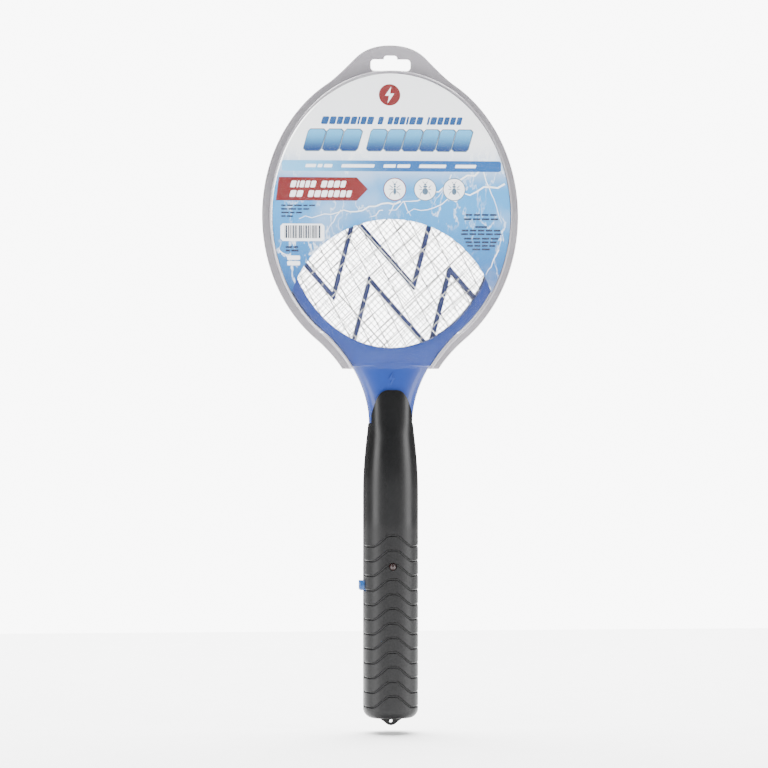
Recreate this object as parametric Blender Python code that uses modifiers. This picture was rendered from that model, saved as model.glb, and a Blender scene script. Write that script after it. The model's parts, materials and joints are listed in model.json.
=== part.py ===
"""Electric fly swatter in its hanging pack: an oval head of three wire meshes on a two-shell handle.

Metres, +Z up, front towards -Y. The origin is where a display peg bears on the hang slot.
"""

import math

import bmesh
import bpy
from mathutils import Matrix, Vector

MM = 0.001
FIT_GAP = 0.3 * MM
SEAM_GAP = 0.3 * MM
SIDES = 16
WELD = 0.002 * MM

HEAD_TOP_DROP = 12.9 * MM
OPENING_HALF_WIDTH = 71.7 * MM
OPENING_HALF_HEIGHT = 88.4 * MM
BAND_SIDE = 7.5 * MM
BAND_TOP = 6.1 * MM
FRAME_HALF_DEPTH = 8.0 * MM
FRAME_WALL = 1.4 * MM
FACE_WALL = 1.6 * MM
OVAL_STEPS = 48

NECK_LENGTH = 44.5 * MM
NECK_HALF_WIDTH = 14.5 * MM
NECK_HALF_DEPTH = 11.0 * MM
NECK_LOFT_TUCK = 1.5 * MM
NECK_OVERLAP = 8.0 * MM
NECK_STEPS = 5
NECK_SIDES = 20
NECK_CURVE = 3.2
FLARE_ANGLE = math.radians(54.0)
FLARE_PULL_HEAD = 22.0 * MM
FLARE_PULL_NECK = 24.0 * MM
TANG_HALF_WIDTH = 11.5 * MM
TANG_HALF_DEPTH = 7.0 * MM
TANG_LENGTH = 20.0 * MM

RIM_BAND = 2.9 * MM
GUARD_DEPTH = 0.8 * MM
GUARD_PITCH = 10.3 * MM
GUARD_WIRE = 0.6 * MM
HV_DEPTH = 1.0 * MM
HV_PITCH = 6.4 * MM
HV_WIRE = 0.4 * MM
TAB_LENGTH = 5.0 * MM
TAB_HALF_WIDTH = 1.6 * MM
HV_TAB_X = 4.5 * MM
GUARD_TAB_X = -6.0 * MM
LEAD_TUCK = 0.6 * MM
RIB_WIDTH = 2.6 * MM
RIB_PEAK = Vector((-24.8 * MM, -1.3 * MM))
RIB_STEP = Vector((53.9 * MM, 7.0 * MM))
RIB_ROW = Vector((-10.7 * MM, 41.5 * MM))
RIB_RISE = Vector((13.7 * MM, 52.8 * MM))
RIB_ROWS = (-1, 0, 1.2, 2.2, 3.2)

FRAME_BOSS_RADIUS = 1.4 * MM
FRAME_SCREW_RADIUS = 0.7 * MM
FRAME_SCREW_HEAD = 1.3 * MM
FRAME_SCREW_ANGLES = (0, 55, 125, 180, 220, 320)
SCREW_CLEARANCE = 0.2 * MM
SCREW_SIDES = 8

HANDLE_LENGTH = 197.0 * MM
HANDLE_HALF_WIDTH = 18.4 * MM
HANDLE_HALF_DEPTH = 16.5 * MM
HANDLE_TOP_HALF_WIDTH = 14.9 * MM
HANDLE_TOP_HALF_DEPTH = 13.6 * MM
HANDLE_WALL = 1.8 * MM
HANDLE_SWELL_DROP = 45.3 * MM
HANDLE_CURVE = 2.6
HANDLE_SIDES = 32
BUTT_ROUND = 6.4 * MM
TONGUE_RISE = 22.4 * MM
TONGUE_TIP_DEPTH = 11.8 * MM
TONGUE_OPEN_SHARE = 0.75
LUG_HALF_WIDTH = 9.4 * MM
LUG_TIP_HALF_WIDTH = 2.7 * MM
LUG_DROP = 5.1 * MM
LUG_THICKNESS = 3.0 * MM
LUG_HOLE_RADIUS = 1.1 * MM

HANDLE_SCREW_RADIUS = 1.1 * MM
HANDLE_SCREW_HEAD = 2.1 * MM
HANDLE_SCREW_HEAD_HEIGHT = 1.6 * MM
HANDLE_BOSS_RADIUS = 2.6 * MM
HANDLE_SEAT_Y = 8.3 * MM
TANG_SCREW_DROP = 12.0 * MM
MIDDLE_SCREW_DROP = 53.0 * MM
LOWER_SCREW_RISE = 73.3 * MM

CELL_RADIUS = 7.25 * MM
CELL_LENGTH = 50.5 * MM
CELL_GAP = 0.3 * MM
CELL_BACK_ROOM = 1.95 * MM
CELL_FLOOR_ROOM = 0.45 * MM
TRAY_END_ROOM = 6.1 * MM
TRAY_FOOT_ROOM = 0.5 * MM
TRAY_WALL = 1.2 * MM
CELL_SIDE_ROOM = 0.25 * MM
CONTACT_THICKNESS = 0.4 * MM
SPRING_ROOM = 4.4 * MM
DOOR_Y = 5.2 * MM
DOOR_LIP = 3.0 * MM

BOARD_RISE = 78.5 * MM
BOARD_LENGTH = 56.0 * MM
BOARD_THICKNESS = 1.6 * MM
BOARD_BACK_Y = -0.4 * MM
BOARD_LEFT_X = -9.9 * MM
BOARD_RIGHT_X = 12.5 * MM
LED_RISE = 101.8 * MM
LED_RADIUS = 2.35 * MM
LED_STAND = 1.6 * MM
LED_LENGTH = 8.0 * MM
BUTTON_RISE = 88.8 * MM
BUTTON_HALF_HEIGHT = 3.25 * MM
BUTTON_HALF_DEPTH = 4.5 * MM
BUTTON_STAND = 2.8 * MM
BUTTON_TRAVEL = 1.6 * MM
BUTTON_FLANGE = 1.3 * MM
BUTTON_FLANGE_ROOM = 1.0 * MM
BUTTON_STEM = 2.2 * MM
SWITCH_SIZE = Vector((5.5, 6.0, 7.0)) * MM
PLUNGER_RADIUS = 1.5 * MM

PACK_FLANGE = 7.1 * MM
PACK_SKIRT = 2.4 * MM
PACK_CROWN = 1.5 * MM
PACK_FILM = 0.5 * MM
PACK_MOUTH_DROP = 8.0 * MM
CARD_THICKNESS = 0.4 * MM
CARD_SIDE_MARGIN = 0.6 * MM
CARD_TOP_MARGIN = 0.1 * MM
CARD_ARC_RADIUS = 70.3 * MM
CARD_ARC_RISE = 21.6 * MM
TAB_TOP_Z = 7.0 * MM
TAB_HALF = 23.5 * MM
TAB_SHOULDER_Z = -1.5 * MM
TAB_PULL = 4.5 * MM
TAB_FOOT_X = 43.0 * MM
TAB_FOOT_PULL = Vector((6.0 * MM, -4.0 * MM))
SLOT_HALF_WIDTH = 13.4 * MM
SLOT_TOP_Z = -2.5 * MM
SLOT_BOTTOM_Z = -10.1 * MM
SLOT_BUMP_HALF = 4.5 * MM
SLOT_CORNER = 2.4 * MM

OUTER_A = OPENING_HALF_WIDTH + BAND_SIDE
OUTER_B = OPENING_HALF_HEIGHT + BAND_TOP
HEAD_Z = -HEAD_TOP_DROP - OUTER_B
NECK_LOFT_DROP = OUTER_B - NECK_LOFT_TUCK
SHOULDER_Z = HEAD_Z - OUTER_B - NECK_LENGTH
PLATE_END_Z = HEAD_Z - NECK_LOFT_DROP - NECK_OVERLAP
BUTT_Z = SHOULDER_Z - HANDLE_LENGTH
GUARD_Y = FRAME_HALF_DEPTH - FACE_WALL - FIT_GAP - GUARD_DEPTH / 2
CARD_Y = FRAME_HALF_DEPTH + FIT_GAP
PACK_INNER_Y = CARD_Y + CARD_THICKNESS + FIT_GAP
PACK_HALF_DEPTH = PACK_INNER_Y + PACK_FILM
PACK_MOUTH_Z = HEAD_Z - OUTER_B - PACK_MOUTH_DROP
CELL_X = CELL_RADIUS + CELL_GAP / 2
CELL_Y = HANDLE_HALF_DEPTH - HANDLE_WALL - CELL_BACK_ROOM - CELL_RADIUS
TRAY_FLOOR_Y = CELL_Y - CELL_RADIUS - CELL_FLOOR_ROOM
TRAY_HALF_WIDTH = CELL_X + CELL_RADIUS + CELL_SIDE_ROOM
TRAY_FOOT_RISE = 2.5 * HANDLE_WALL + TRAY_FOOT_ROOM
TRAY_RISE = TRAY_FOOT_RISE + CELL_LENGTH + SPRING_ROOM + TRAY_END_ROOM
HALF_SEAM = SEAM_GAP / 2
BIG = 0.5


def clear_scene():
    for obj in list(bpy.data.objects):
        bpy.data.objects.remove(obj, do_unlink=True)


def make_material(name, colour, roughness, metallic=0.0, alpha=1.0):
    material = bpy.data.materials.new(name)
    material.use_nodes = True
    shader = material.node_tree.nodes["Principled BSDF"]
    shader.inputs["Base Color"].default_value = (*colour, 1.0)
    shader.inputs["Roughness"].default_value = roughness
    shader.inputs["Metallic"].default_value = metallic
    shader.inputs["Alpha"].default_value = alpha
    return material


clear_scene()
PARTS = bpy.data.collections.new("electric_fly_swatter")
bpy.context.scene.collection.children.link(PARTS)

FRAME_BLUE = make_material("frame_blue_plastic", (0.03, 0.16, 0.56), 0.35)
RIB_BLUE = make_material("rib_blue_plastic", (0.02, 0.06, 0.25), 0.45)
BUTTON_BLUE = make_material("button_blue_plastic", (0.0, 0.16, 0.48), 0.35)
HANDLE_BLACK = make_material("handle_black_plastic", (0.008, 0.008, 0.009), 0.4)
WIRE_STEEL = make_material("mesh_wire_steel", (0.62, 0.62, 0.6), 0.3, 1.0)
SCREW_STEEL = make_material("screw_steel", (0.45, 0.45, 0.46), 0.35, 1.0)
SPRING_STEEL = make_material("contact_steel", (0.7, 0.68, 0.62), 0.3, 1.0)
BOARD_GREEN = make_material("circuit_board_green", (0.02, 0.14, 0.04), 0.5)
LED_RED = make_material("led_red", (0.25, 0.01, 0.01), 0.15)
PART_BLACK = make_material("component_black", (0.02, 0.02, 0.02), 0.5)
FILM_RED = make_material("capacitor_film", (0.3, 0.06, 0.02), 0.4)
COIL_AMBER = make_material("transformer_tape", (0.6, 0.35, 0.05), 0.4)
WIRE_RED = make_material("lead_red", (0.5, 0.02, 0.02), 0.5)
WIRE_BLACK = make_material("lead_black", (0.01, 0.01, 0.01), 0.5)
CELL_SLEEVE = make_material("cell_sleeve", (0.1, 0.1, 0.12), 0.3)
PACK_FILM_CLEAR = make_material("package_film", (0.85, 0.86, 0.88), 0.1, 0.0, 0.25)
CARD_PRINT = make_material("package_card_print", (0.25, 0.6, 0.85), 0.6)


def new_object(name, mesh):
    obj = bpy.data.objects.new(name, mesh)
    PARTS.objects.link(obj)
    return obj


def object_of(name, shape):
    mesh = bpy.data.meshes.new(name)
    bmesh.ops.recalc_face_normals(shape, faces=shape.faces)
    shape.to_mesh(mesh)
    shape.free()
    return new_object(name, mesh)


def box(name, low, high):
    low = Vector(low)
    high = Vector(high)
    shape = bmesh.new()
    bmesh.ops.create_cube(shape, size=1.0)
    bmesh.ops.scale(shape, vec=high - low, verts=shape.verts)
    bmesh.ops.translate(shape, vec=(low + high) / 2, verts=shape.verts)
    return object_of(name, shape)


def rod(name, start, end, radius, end_radius=None, sides=SIDES):
    """A cylinder or cone from start to end."""
    start = Vector(start)
    end = Vector(end)
    shape = bmesh.new()
    bmesh.ops.create_cone(shape, cap_ends=True, segments=sides, radius1=radius,
                          radius2=radius if end_radius is None else end_radius,
                          depth=(end - start).length)
    turn = (end - start).to_track_quat("Z", "Y").to_matrix().to_4x4()
    half_step = Matrix.Rotation(math.pi / sides, 4, "Z")
    shape.transform(Matrix.Translation((start + end) / 2) @ turn @ half_step)
    return object_of(name, shape)


def plate(name, loops, front_y, back_y):
    """A flat outline in the XZ plane, filled and extruded between two depths; later loops are holes."""
    curve = bpy.data.curves.new(name, "CURVE")
    curve.dimensions = "2D"
    curve.fill_mode = "BOTH"
    curve.extrude = (back_y - front_y) / 2
    for loop in loops:
        spline = curve.splines.new("POLY")
        spline.points.add(len(loop) - 1)
        for point, (x, z) in zip(spline.points, loop):
            point.co = (x, z, 0.0, 1.0)
        spline.use_cyclic_u = True
    source = new_object(name, curve)
    mesh = evaluated_mesh(source)
    bpy.data.objects.remove(source)
    bpy.data.curves.remove(curve)
    place = Matrix.Translation((0.0, (front_y + back_y) / 2, 0.0)) @ Matrix.Rotation(math.pi / 2, 4, "X")
    shape = bmesh.new()
    shape.from_mesh(mesh)
    shape.transform(place)
    bmesh.ops.remove_doubles(shape, verts=shape.verts, dist=1e-6)
    bpy.data.meshes.remove(mesh)
    return object_of(name, shape)


def loft(name, rings):
    """A closed solid through rings that hold equally many points each."""
    shape = bmesh.new()
    rows = [[shape.verts.new(point) for point in ring] for ring in rings]
    count = len(rows[0])
    for upper, lower in zip(rows, rows[1:]):
        for i in range(count):
            j = (i + 1) % count
            shape.faces.new((upper[i], upper[j], lower[j], lower[i]))
    shape.faces.new(rows[0])
    shape.faces.new(rows[-1])
    return object_of(name, shape)


def wire(name, points, radius, resolution=2):
    """A tube along a smooth curve through the points."""
    curve = bpy.data.curves.new(name, "CURVE")
    curve.dimensions = "3D"
    curve.bevel_depth = radius
    curve.bevel_resolution = resolution
    curve.use_fill_caps = True
    spline = curve.splines.new("POLY")
    spline.points.add(len(points) - 1)
    for target, point in zip(spline.points, points):
        target.co = (*point, 1.0)
    source = new_object(name, curve)
    mesh = evaluated_mesh(source)
    bpy.data.objects.remove(source)
    bpy.data.curves.remove(curve)
    shape = bmesh.new()
    shape.from_mesh(mesh)
    bmesh.ops.remove_doubles(shape, verts=shape.verts, dist=1e-6)
    bpy.data.meshes.remove(mesh)
    return object_of(name, shape)


def evaluated_mesh(obj):
    bpy.context.view_layer.update()
    graph = bpy.context.evaluated_depsgraph_get()
    return bpy.data.meshes.new_from_object(obj.evaluated_get(graph))


def combine(obj, other, operation):
    """Applies one Boolean and removes the second object."""
    modifier = obj.modifiers.new(operation.lower(), "BOOLEAN")
    modifier.operation = operation
    modifier.solver = "EXACT"
    modifier.object = other
    mesh = evaluated_mesh(obj)
    obj.modifiers.clear()
    used = obj.data
    shape = bmesh.new()
    shape.from_mesh(mesh)
    bmesh.ops.remove_doubles(shape, verts=shape.verts, dist=WELD)
    bmesh.ops.dissolve_degenerate(shape, edges=shape.edges, dist=WELD)
    shape.to_mesh(mesh)
    shape.free()
    obj.data = mesh
    bpy.data.meshes.remove(used)
    bpy.data.objects.remove(other)
    return obj


def cut(obj, *others):
    for other in others:
        combine(obj, other, "DIFFERENCE")
    return obj


def join(obj, *others):
    for other in others:
        combine(obj, other, "UNION")
    return obj


def keep(obj, other):
    return combine(obj, other, "INTERSECT")


def merge_flats(obj):
    """Joins the faces that lie in one plane, then splits them evenly."""
    shape = bmesh.new()
    shape.from_mesh(obj.data)
    bmesh.ops.dissolve_limit(shape, angle_limit=math.radians(0.1), verts=shape.verts, edges=shape.edges)
    bmesh.ops.triangulate(shape, faces=shape.faces, ngon_method="BEAUTY")
    shape.to_mesh(obj.data)
    shape.free()


def finish(obj, name, material, smooth=30.0):
    merge_flats(obj)
    obj.name = name
    obj.data.name = name
    obj.data.materials.clear()
    obj.data.materials.append(material)
    obj.data.shade_smooth()
    obj.data.set_sharp_from_angle(angle=math.radians(smooth))
    return obj


def cubic(start, pull_start, pull_end, end, count):
    """Points of a cubic curve after its start, as (x, z) pairs."""
    points = []
    for i in range(1, count + 1):
        t = i / count
        s = 1.0 - t
        points.append(s * s * s * start + 3 * s * s * t * pull_start
                      + 3 * s * t * t * pull_end + t * t * t * end)
    return points


def ellipse(half_width, half_height, steps=OVAL_STEPS):
    turns = [2 * math.pi * i / steps for i in range(steps)]
    return [(half_width * math.cos(a), HEAD_Z + half_height * math.sin(a)) for a in turns]


def flare(grow, count):
    """The right edge from the oval down to the handle's shoulder, moved out by grow."""
    half_width = OUTER_A + grow
    half_height = OUTER_B + grow
    start = Vector((half_width * math.cos(FLARE_ANGLE), HEAD_Z - half_height * math.sin(FLARE_ANGLE)))
    slope = Vector((-half_width * math.sin(FLARE_ANGLE), -half_height * math.cos(FLARE_ANGLE)))
    end = Vector((NECK_HALF_WIDTH + grow, SHOULDER_Z + SEAM_GAP))
    pull_start = start + slope.normalized() * FLARE_PULL_HEAD
    pull_end = end + Vector((0.0, FLARE_PULL_NECK))
    return [start] + cubic(start, pull_start, pull_end, end, count)


def flare_width(z, grow=0.0):
    """Half the racket's width at a height on the flare."""
    edge = flare(grow, 40)
    for upper, lower in zip(edge, edge[1:]):
        if upper.y >= z >= lower.y:
            share = (upper.y - z) / (upper.y - lower.y)
            return upper.x + share * (lower.x - upper.x)
    return edge[-1].x


def racket_outline(grow, bottom_z, steps=28):
    """The head and flare as one loop, cut straight across at bottom_z."""
    right = []
    first = math.pi / 2
    for i in range(steps):
        a = first - (first + FLARE_ANGLE) * i / steps
        right.append(Vector(((OUTER_A + grow) * math.cos(a), HEAD_Z + (OUTER_B + grow) * math.sin(a))))
    right += [point for point in flare(grow, 8) if point.y > bottom_z + 0.5 * MM]
    right.append(Vector((flare_width(bottom_z, grow), bottom_z)))
    return mirrored_loop(right)


def mirrored_loop(right):
    """Closes a right-hand edge that starts on the middle line."""
    left = [Vector((-point.x, point.y)) for point in reversed(right[1:])]
    return right + left


def ring_at(z, half_width, half_depth, power, sides=HANDLE_SIDES):
    """A rounded section: an ellipse at power 2, squarer above it."""
    ring = []
    for i in range(sides):
        a = 2 * math.pi * (i + 0.5) / sides
        x = math.copysign(abs(math.cos(a)) ** (2 / power), math.cos(a))
        y = math.copysign(abs(math.sin(a)) ** (2 / power), math.sin(a))
        ring.append(Vector((half_width * x, half_depth * y, z)))
    return ring


def neck_depth(z):
    """Half the neck's depth, which grows from the frame's to the handle's."""
    top = HEAD_Z - NECK_LOFT_DROP
    share = min(1.0, max(0.0, (top - z) / (top - SHOULDER_Z)))
    return FRAME_HALF_DEPTH + (NECK_HALF_DEPTH - FRAME_HALF_DEPTH) * share * share * (3 - 2 * share)


def neck_solid(name, grow, bottom_z):
    """The rounded neck, which starts inside the flat plate and leaves it at the plate's end."""
    top = HEAD_Z - NECK_LOFT_DROP
    heights = [top] + [PLATE_END_Z + (bottom_z - PLATE_END_Z) * i / NECK_STEPS for i in range(NECK_STEPS + 1)]
    rings = []
    for i, z in enumerate(heights):
        tuck = (1.0 * MM, 0.05 * MM)[i] if i < 2 else 0.0
        depth = neck_depth(z) + grow - (0.3 * MM if i == 0 else 0.0)
        rings.append(ring_at(z, flare_width(z) + grow - tuck, depth, NECK_CURVE, NECK_SIDES))
    return loft(name, rings)


def oval_offset_point(angle_degrees, offset):
    """A point offset outwards from the opening, at an angle round the oval."""
    a = math.radians(angle_degrees)
    return (OPENING_HALF_WIDTH + offset) * math.cos(a), HEAD_Z + (OPENING_HALF_HEIGHT + offset) * math.sin(a)


def frame_screw_places():
    reach = RIM_BAND + FIT_GAP + SCREW_CLEARANCE + FRAME_BOSS_RADIUS
    return [oval_offset_point(a, reach) for a in FRAME_SCREW_ANGLES]


def frame_half(name, side):
    """One moulded half of head frame, neck and tang; side is -1 for the front, 1 for the rear."""
    body = plate(name, [racket_outline(0.0, PLATE_END_Z)], -FRAME_HALF_DEPTH, FRAME_HALF_DEPTH)
    join(body, neck_solid("neck", 0.0, SHOULDER_Z + SEAM_GAP))
    join(body, box("tang", (-TANG_HALF_WIDTH, -TANG_HALF_DEPTH, SHOULDER_Z - TANG_LENGTH),
                   (TANG_HALF_WIDTH, TANG_HALF_DEPTH, SHOULDER_Z + 3 * MM)))
    inner = FRAME_HALF_DEPTH - FACE_WALL
    cut(body, plate("opening", [ellipse(OPENING_HALF_WIDTH, OPENING_HALF_HEIGHT)], -BIG, BIG))
    cut(body, plate("pocket", [racket_outline(-FRAME_WALL, PLATE_END_Z + 2 * FRAME_WALL)], -inner, inner))
    cut(body, neck_solid("hollow", -FACE_WALL, SHOULDER_Z + 2.4 * MM))
    cut(body, box("tang_hollow", (FACE_WALL - TANG_HALF_WIDTH, FACE_WALL - TANG_HALF_DEPTH, -BIG),
                  (TANG_HALF_WIDTH - FACE_WALL, TANG_HALF_DEPTH - FACE_WALL, SHOULDER_Z + 4 * MM)))
    tang_screw = SHOULDER_Z - TANG_SCREW_DROP
    hole = HANDLE_SCREW_RADIUS + FIT_GAP
    cut(body, rod("tang_hole", (0, -BIG, tang_screw), (0, BIG, tang_screw), hole))
    keep(body, half_space(side))
    for x, z in frame_screw_places():
        start = side * HALF_SEAM
        join(body, rod("boss", (x, start, z), (x, side * (inner + 0.5 * MM), z), FRAME_BOSS_RADIUS, sides=SCREW_SIDES))
        bore = FRAME_SCREW_RADIUS + SCREW_CLEARANCE
        if side > 0:
            cut(body, rod("bore", (x, 0, z), (x, BIG, z), bore, sides=SCREW_SIDES))
            seat = FRAME_HALF_DEPTH - 1.2 * MM
            cut(body, rod("recess", (x, seat, z), (x, BIG, z), FRAME_SCREW_HEAD + SCREW_CLEARANCE, sides=SCREW_SIDES))
        else:
            cut(body, rod("pilot", (x, 0, z), (x, -inner + 0.4 * MM, z), bore, sides=SCREW_SIDES))
    return finish(body, name, FRAME_BLUE)


def half_space(side):
    if side < 0:
        return box("half", (-BIG, -BIG, -2 * BIG), (BIG, -HALF_SEAM, BIG))
    return box("half", (-BIG, HALF_SEAM, -2 * BIG), (BIG, BIG, BIG))


def rim(name, front_y, back_y):
    """The oval rim that meshes and spacers share."""
    outer = ellipse(OPENING_HALF_WIDTH + RIM_BAND, OPENING_HALF_HEIGHT + RIM_BAND)
    inner = ellipse(OPENING_HALF_WIDTH, OPENING_HALF_HEIGHT)
    return plate(name, [outer, inner], front_y, back_y)


def bar_layer(shape, pitch, width, front_y, back_y, slope):
    """Adds parallel bars at a slope, each ending inside the rim."""
    a = OPENING_HALF_WIDTH + RIM_BAND / 2
    b = OPENING_HALF_HEIGHT + RIM_BAND / 2
    along = Vector((math.cos(slope), math.sin(slope)))
    across = Vector((-along.y, along.x))
    reach = math.hypot(a * across.x, b * across.y)
    count = int((reach - pitch / 4) / pitch)
    for i in range(-count, count + 1):
        base = across * (i * pitch)
        p = (along.x / a) ** 2 + (along.y / b) ** 2
        q = base.x * along.x / a ** 2 + base.y * along.y / b ** 2
        r = (base.x / a) ** 2 + (base.y / b) ** 2 - 1
        root = math.sqrt(q * q - p * r)
        middle = base - along * (q / p)
        made = bmesh.ops.create_cube(shape, size=1.0)["verts"]
        bmesh.ops.scale(shape, vec=(2 * root / p, back_y - front_y, width), verts=made)
        bmesh.ops.rotate(shape, cent=(0, 0, 0), matrix=Matrix.Rotation(-slope, 3, "Y"), verts=made)
        place = Vector((middle.x, (front_y + back_y) / 2, HEAD_Z + middle.y))
        bmesh.ops.translate(shape, vec=place, verts=made)


def wire_mesh(name, middle_y, depth, pitch, width, slopes, tab_x):
    """A rim with two layers of crossing bars and a solder tab at the foot."""
    front = middle_y - depth / 2
    back = middle_y + depth / 2
    slit = 0.1 * MM
    body = rim(name, front, back)
    shape = bmesh.new()
    bar_layer(shape, pitch, width, front + slit, middle_y - slit / 2, slopes[0])
    bar_layer(shape, pitch, width, middle_y + slit / 2, back - slit, slopes[1])
    join(body, object_of("bars", shape))
    foot = HEAD_Z - OPENING_HALF_HEIGHT - RIM_BAND
    join(body, box("tab", (tab_x - TAB_HALF_WIDTH, front + slit, foot - TAB_LENGTH),
                   (tab_x + TAB_HALF_WIDTH, back - slit, foot + RIM_BAND / 2)))
    return finish(body, name, WIRE_STEEL)


def rib_outline(row):
    """One zigzag rib as a closed outline of even width."""
    middle = []
    for i in range(-3, 4):
        peak = RIB_PEAK + RIB_STEP * i + RIB_ROW * row
        middle += [peak - RIB_RISE, peak]
    upper = []
    lower = []
    for before, here, after in zip(middle, middle[1:], middle[2:]):
        first = (here - before).normalized()
        second = (after - here).normalized()
        mitre = Vector((-first.y - second.y, first.x + second.x))
        mitre *= RIB_WIDTH / 2 / (mitre.dot(Vector((-first.y, first.x))))
        upper.append((here.x + mitre.x, HEAD_Z + here.y + mitre.y))
        lower.append((here.x - mitre.x, HEAD_Z + here.y - mitre.y))
    return upper + lower[::-1]


def spacer(name, side):
    """The ribbed ring that holds two meshes apart."""
    near = HV_DEPTH / 2 + FIT_GAP
    far = GUARD_Y - GUARD_DEPTH / 2 - FIT_GAP
    front = -far if side < 0 else near
    back = -near if side < 0 else far
    body = rim(name, front, back)
    reach = ellipse(OPENING_HALF_WIDTH + RIM_BAND / 2, OPENING_HALF_HEIGHT + RIM_BAND / 2)
    slit = 0.05 * MM
    for row in RIB_ROWS:
        rib = plate("rib", [rib_outline(row)], front + slit, back - slit)
        keep(rib, plate("reach", [reach], -BIG, BIG))
        if rib.data.polygons:
            join(body, rib)
        else:
            bpy.data.objects.remove(rib)
    return finish(body, name, RIB_BLUE)


def screw(name, x, z, seat_y, tip_y, radius, head_radius, head_height):
    body = rod(name, (x, tip_y, z), (x, seat_y + head_height / 2, z), radius, sides=SCREW_SIDES)
    join(body, rod("head", (x, seat_y, z), (x, seat_y + head_height, z), head_radius, head_radius * 0.8,
                   sides=SCREW_SIDES))
    width = head_radius * 0.22
    middle = seat_y + head_height
    for half_x, half_z in ((head_radius * 0.6, width), (width, head_radius * 0.6)):
        cut(body, box("drive", (x - half_x, middle - head_height / 2, z - half_z),
                      (x + half_x, middle + 1 * MM, z + half_z)))
    return finish(body, name, SCREW_STEEL)


def handle_stations(grow):
    """(height, half width, half depth) down the handle."""
    side = HANDLE_HALF_WIDTH + grow
    deep = HANDLE_HALF_DEPTH + grow
    top_w = HANDLE_TOP_HALF_WIDTH + grow
    top_d = HANDLE_TOP_HALF_DEPTH + grow
    rows = [(SHOULDER_Z - HANDLE_SWELL_DROP * share,
             top_w + (side - top_w) * math.sin(share * math.pi / 2),
             top_d + (deep - top_d) * math.sin(share * math.pi / 2)) for share in (0, 0.12, 0.3, 0.6, 1)]
    rows.append((BUTT_Z + 2 * BUTT_ROUND, side, deep))
    for share in (0, 0.4, 0.7, 0.9, 1):
        bend = math.sqrt(max(0.0, 1 - share * share))
        shrink = BUTT_ROUND * (1 - bend) * 0.9
        rows.append((BUTT_Z + BUTT_ROUND * (1 - share), side - shrink * 1.1, deep - shrink))
    return rows


def handle_solid(name):
    rings = [ring_at(SHOULDER_Z + TONGUE_RISE + 1 * MM, HANDLE_TOP_HALF_WIDTH + FIT_GAP, TONGUE_TIP_DEPTH, 3.2)]
    for z, width, depth in handle_stations(0.0):
        power = HANDLE_CURVE + 0.6 * (z > SHOULDER_Z - 1 * MM)
        rings.append(ring_at(z, width, depth, power))
    return loft(name, rings)


def handle_hollow(name):
    rows = [row for row in handle_stations(-HANDLE_WALL) if row[0] < SHOULDER_Z - 4 * MM]
    rows[-1] = (BUTT_Z + HANDLE_WALL, rows[-2][1], rows[-2][2])
    del rows[-2]
    return loft(name, [ring_at(z, width, depth, HANDLE_CURVE) for z, width, depth in rows])


def arch_outline():
    """The handle's front view: an arched tongue over the neck, then everything below the shoulder."""
    right = [Vector((0.0, SHOULDER_Z + TONGUE_RISE))]
    count = 9
    for i in range(1, count + 1):
        share = (i / count) ** 2.5
        right.append(Vector((HANDLE_TOP_HALF_WIDTH * share ** 0.28, SHOULDER_Z + TONGUE_RISE * (1 - share))))
    right.append(Vector((2 * HANDLE_HALF_WIDTH, SHOULDER_Z)))
    right.append(Vector((2 * HANDLE_HALF_WIDTH, BUTT_Z - 1 * MM)))
    return mirrored_loop(right)


def handle_shell(name, side):
    """One handle shell, with the tongue over the neck and its screw bosses."""
    body = handle_solid(name)
    keep(body, plate("arch", [arch_outline()], -BIG, BIG))
    cut(body, handle_hollow("hollow"))
    cut(body, neck_solid("neck_room", FIT_GAP, SHOULDER_Z))
    cut(body, box("tang_room", (-TANG_HALF_WIDTH - FIT_GAP, -TANG_HALF_DEPTH - FIT_GAP,
                                SHOULDER_Z - TANG_LENGTH - FIT_GAP),
                  (TANG_HALF_WIDTH + FIT_GAP, TANG_HALF_DEPTH + FIT_GAP, SHOULDER_Z + 1 * MM)))
    open_side = NECK_HALF_DEPTH * TONGUE_OPEN_SHARE
    cut(body, box("tongue_sides", (-BIG, -open_side, SHOULDER_Z), (BIG, open_side, BIG)))
    keep(body, half_space(side))
    for z, near in handle_screw_places():
        start = side * max(near, HALF_SEAM)
        radius = HANDLE_BOSS_RADIUS + (0.8 * MM if side > 0 else 0.0)
        end = side * (HANDLE_HALF_DEPTH - 0.8 * HANDLE_WALL - (1.6 * MM if near else 0.0))
        join(body, rod("boss", (0, start, z), (0, end, z), radius))
        bore = HANDLE_SCREW_RADIUS + SCREW_CLEARANCE
        if side > 0:
            cut(body, rod("bore", (0, 0, z), (0, BIG, z), bore))
            cut(body, rod("recess", (0, HANDLE_SEAT_Y, z), (0, BIG, z), HANDLE_SCREW_HEAD + SCREW_CLEARANCE))
        else:
            cut(body, rod("pilot", (0, 0, z), (0, -HANDLE_HALF_DEPTH + 4.5 * MM, z), bore))
    button_z = BUTT_Z + BUTTON_RISE
    cut(body, box("button_hole", (-BIG, -BUTTON_HALF_DEPTH - FIT_GAP, button_z - BUTTON_HALF_HEIGHT - FIT_GAP),
                  (-HANDLE_HALF_WIDTH / 2, BUTTON_HALF_DEPTH + FIT_GAP, button_z + BUTTON_HALF_HEIGHT + FIT_GAP)))
    return body


def handle_screw_places():
    """(height, depth of the nearest solid in the way) of each handle screw."""
    return ((SHOULDER_Z - TANG_SCREW_DROP, TANG_HALF_DEPTH + FIT_GAP),
            (SHOULDER_Z - MIDDLE_SCREW_DROP, 0.0),
            (BUTT_Z + LOWER_SCREW_RISE, 0.0))


def handle_front():
    body = handle_shell("handle_front_shell", -1)
    led_z = BUTT_Z + LED_RISE
    cut(body, rod("led_hole", (0, -BIG, led_z), (0, -HANDLE_HALF_DEPTH / 2, led_z), LED_RADIUS + FIT_GAP, sides=24))
    join(body, hanging_lug())
    return finish(body, "handle_front_shell", HANDLE_BLACK)


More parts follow.
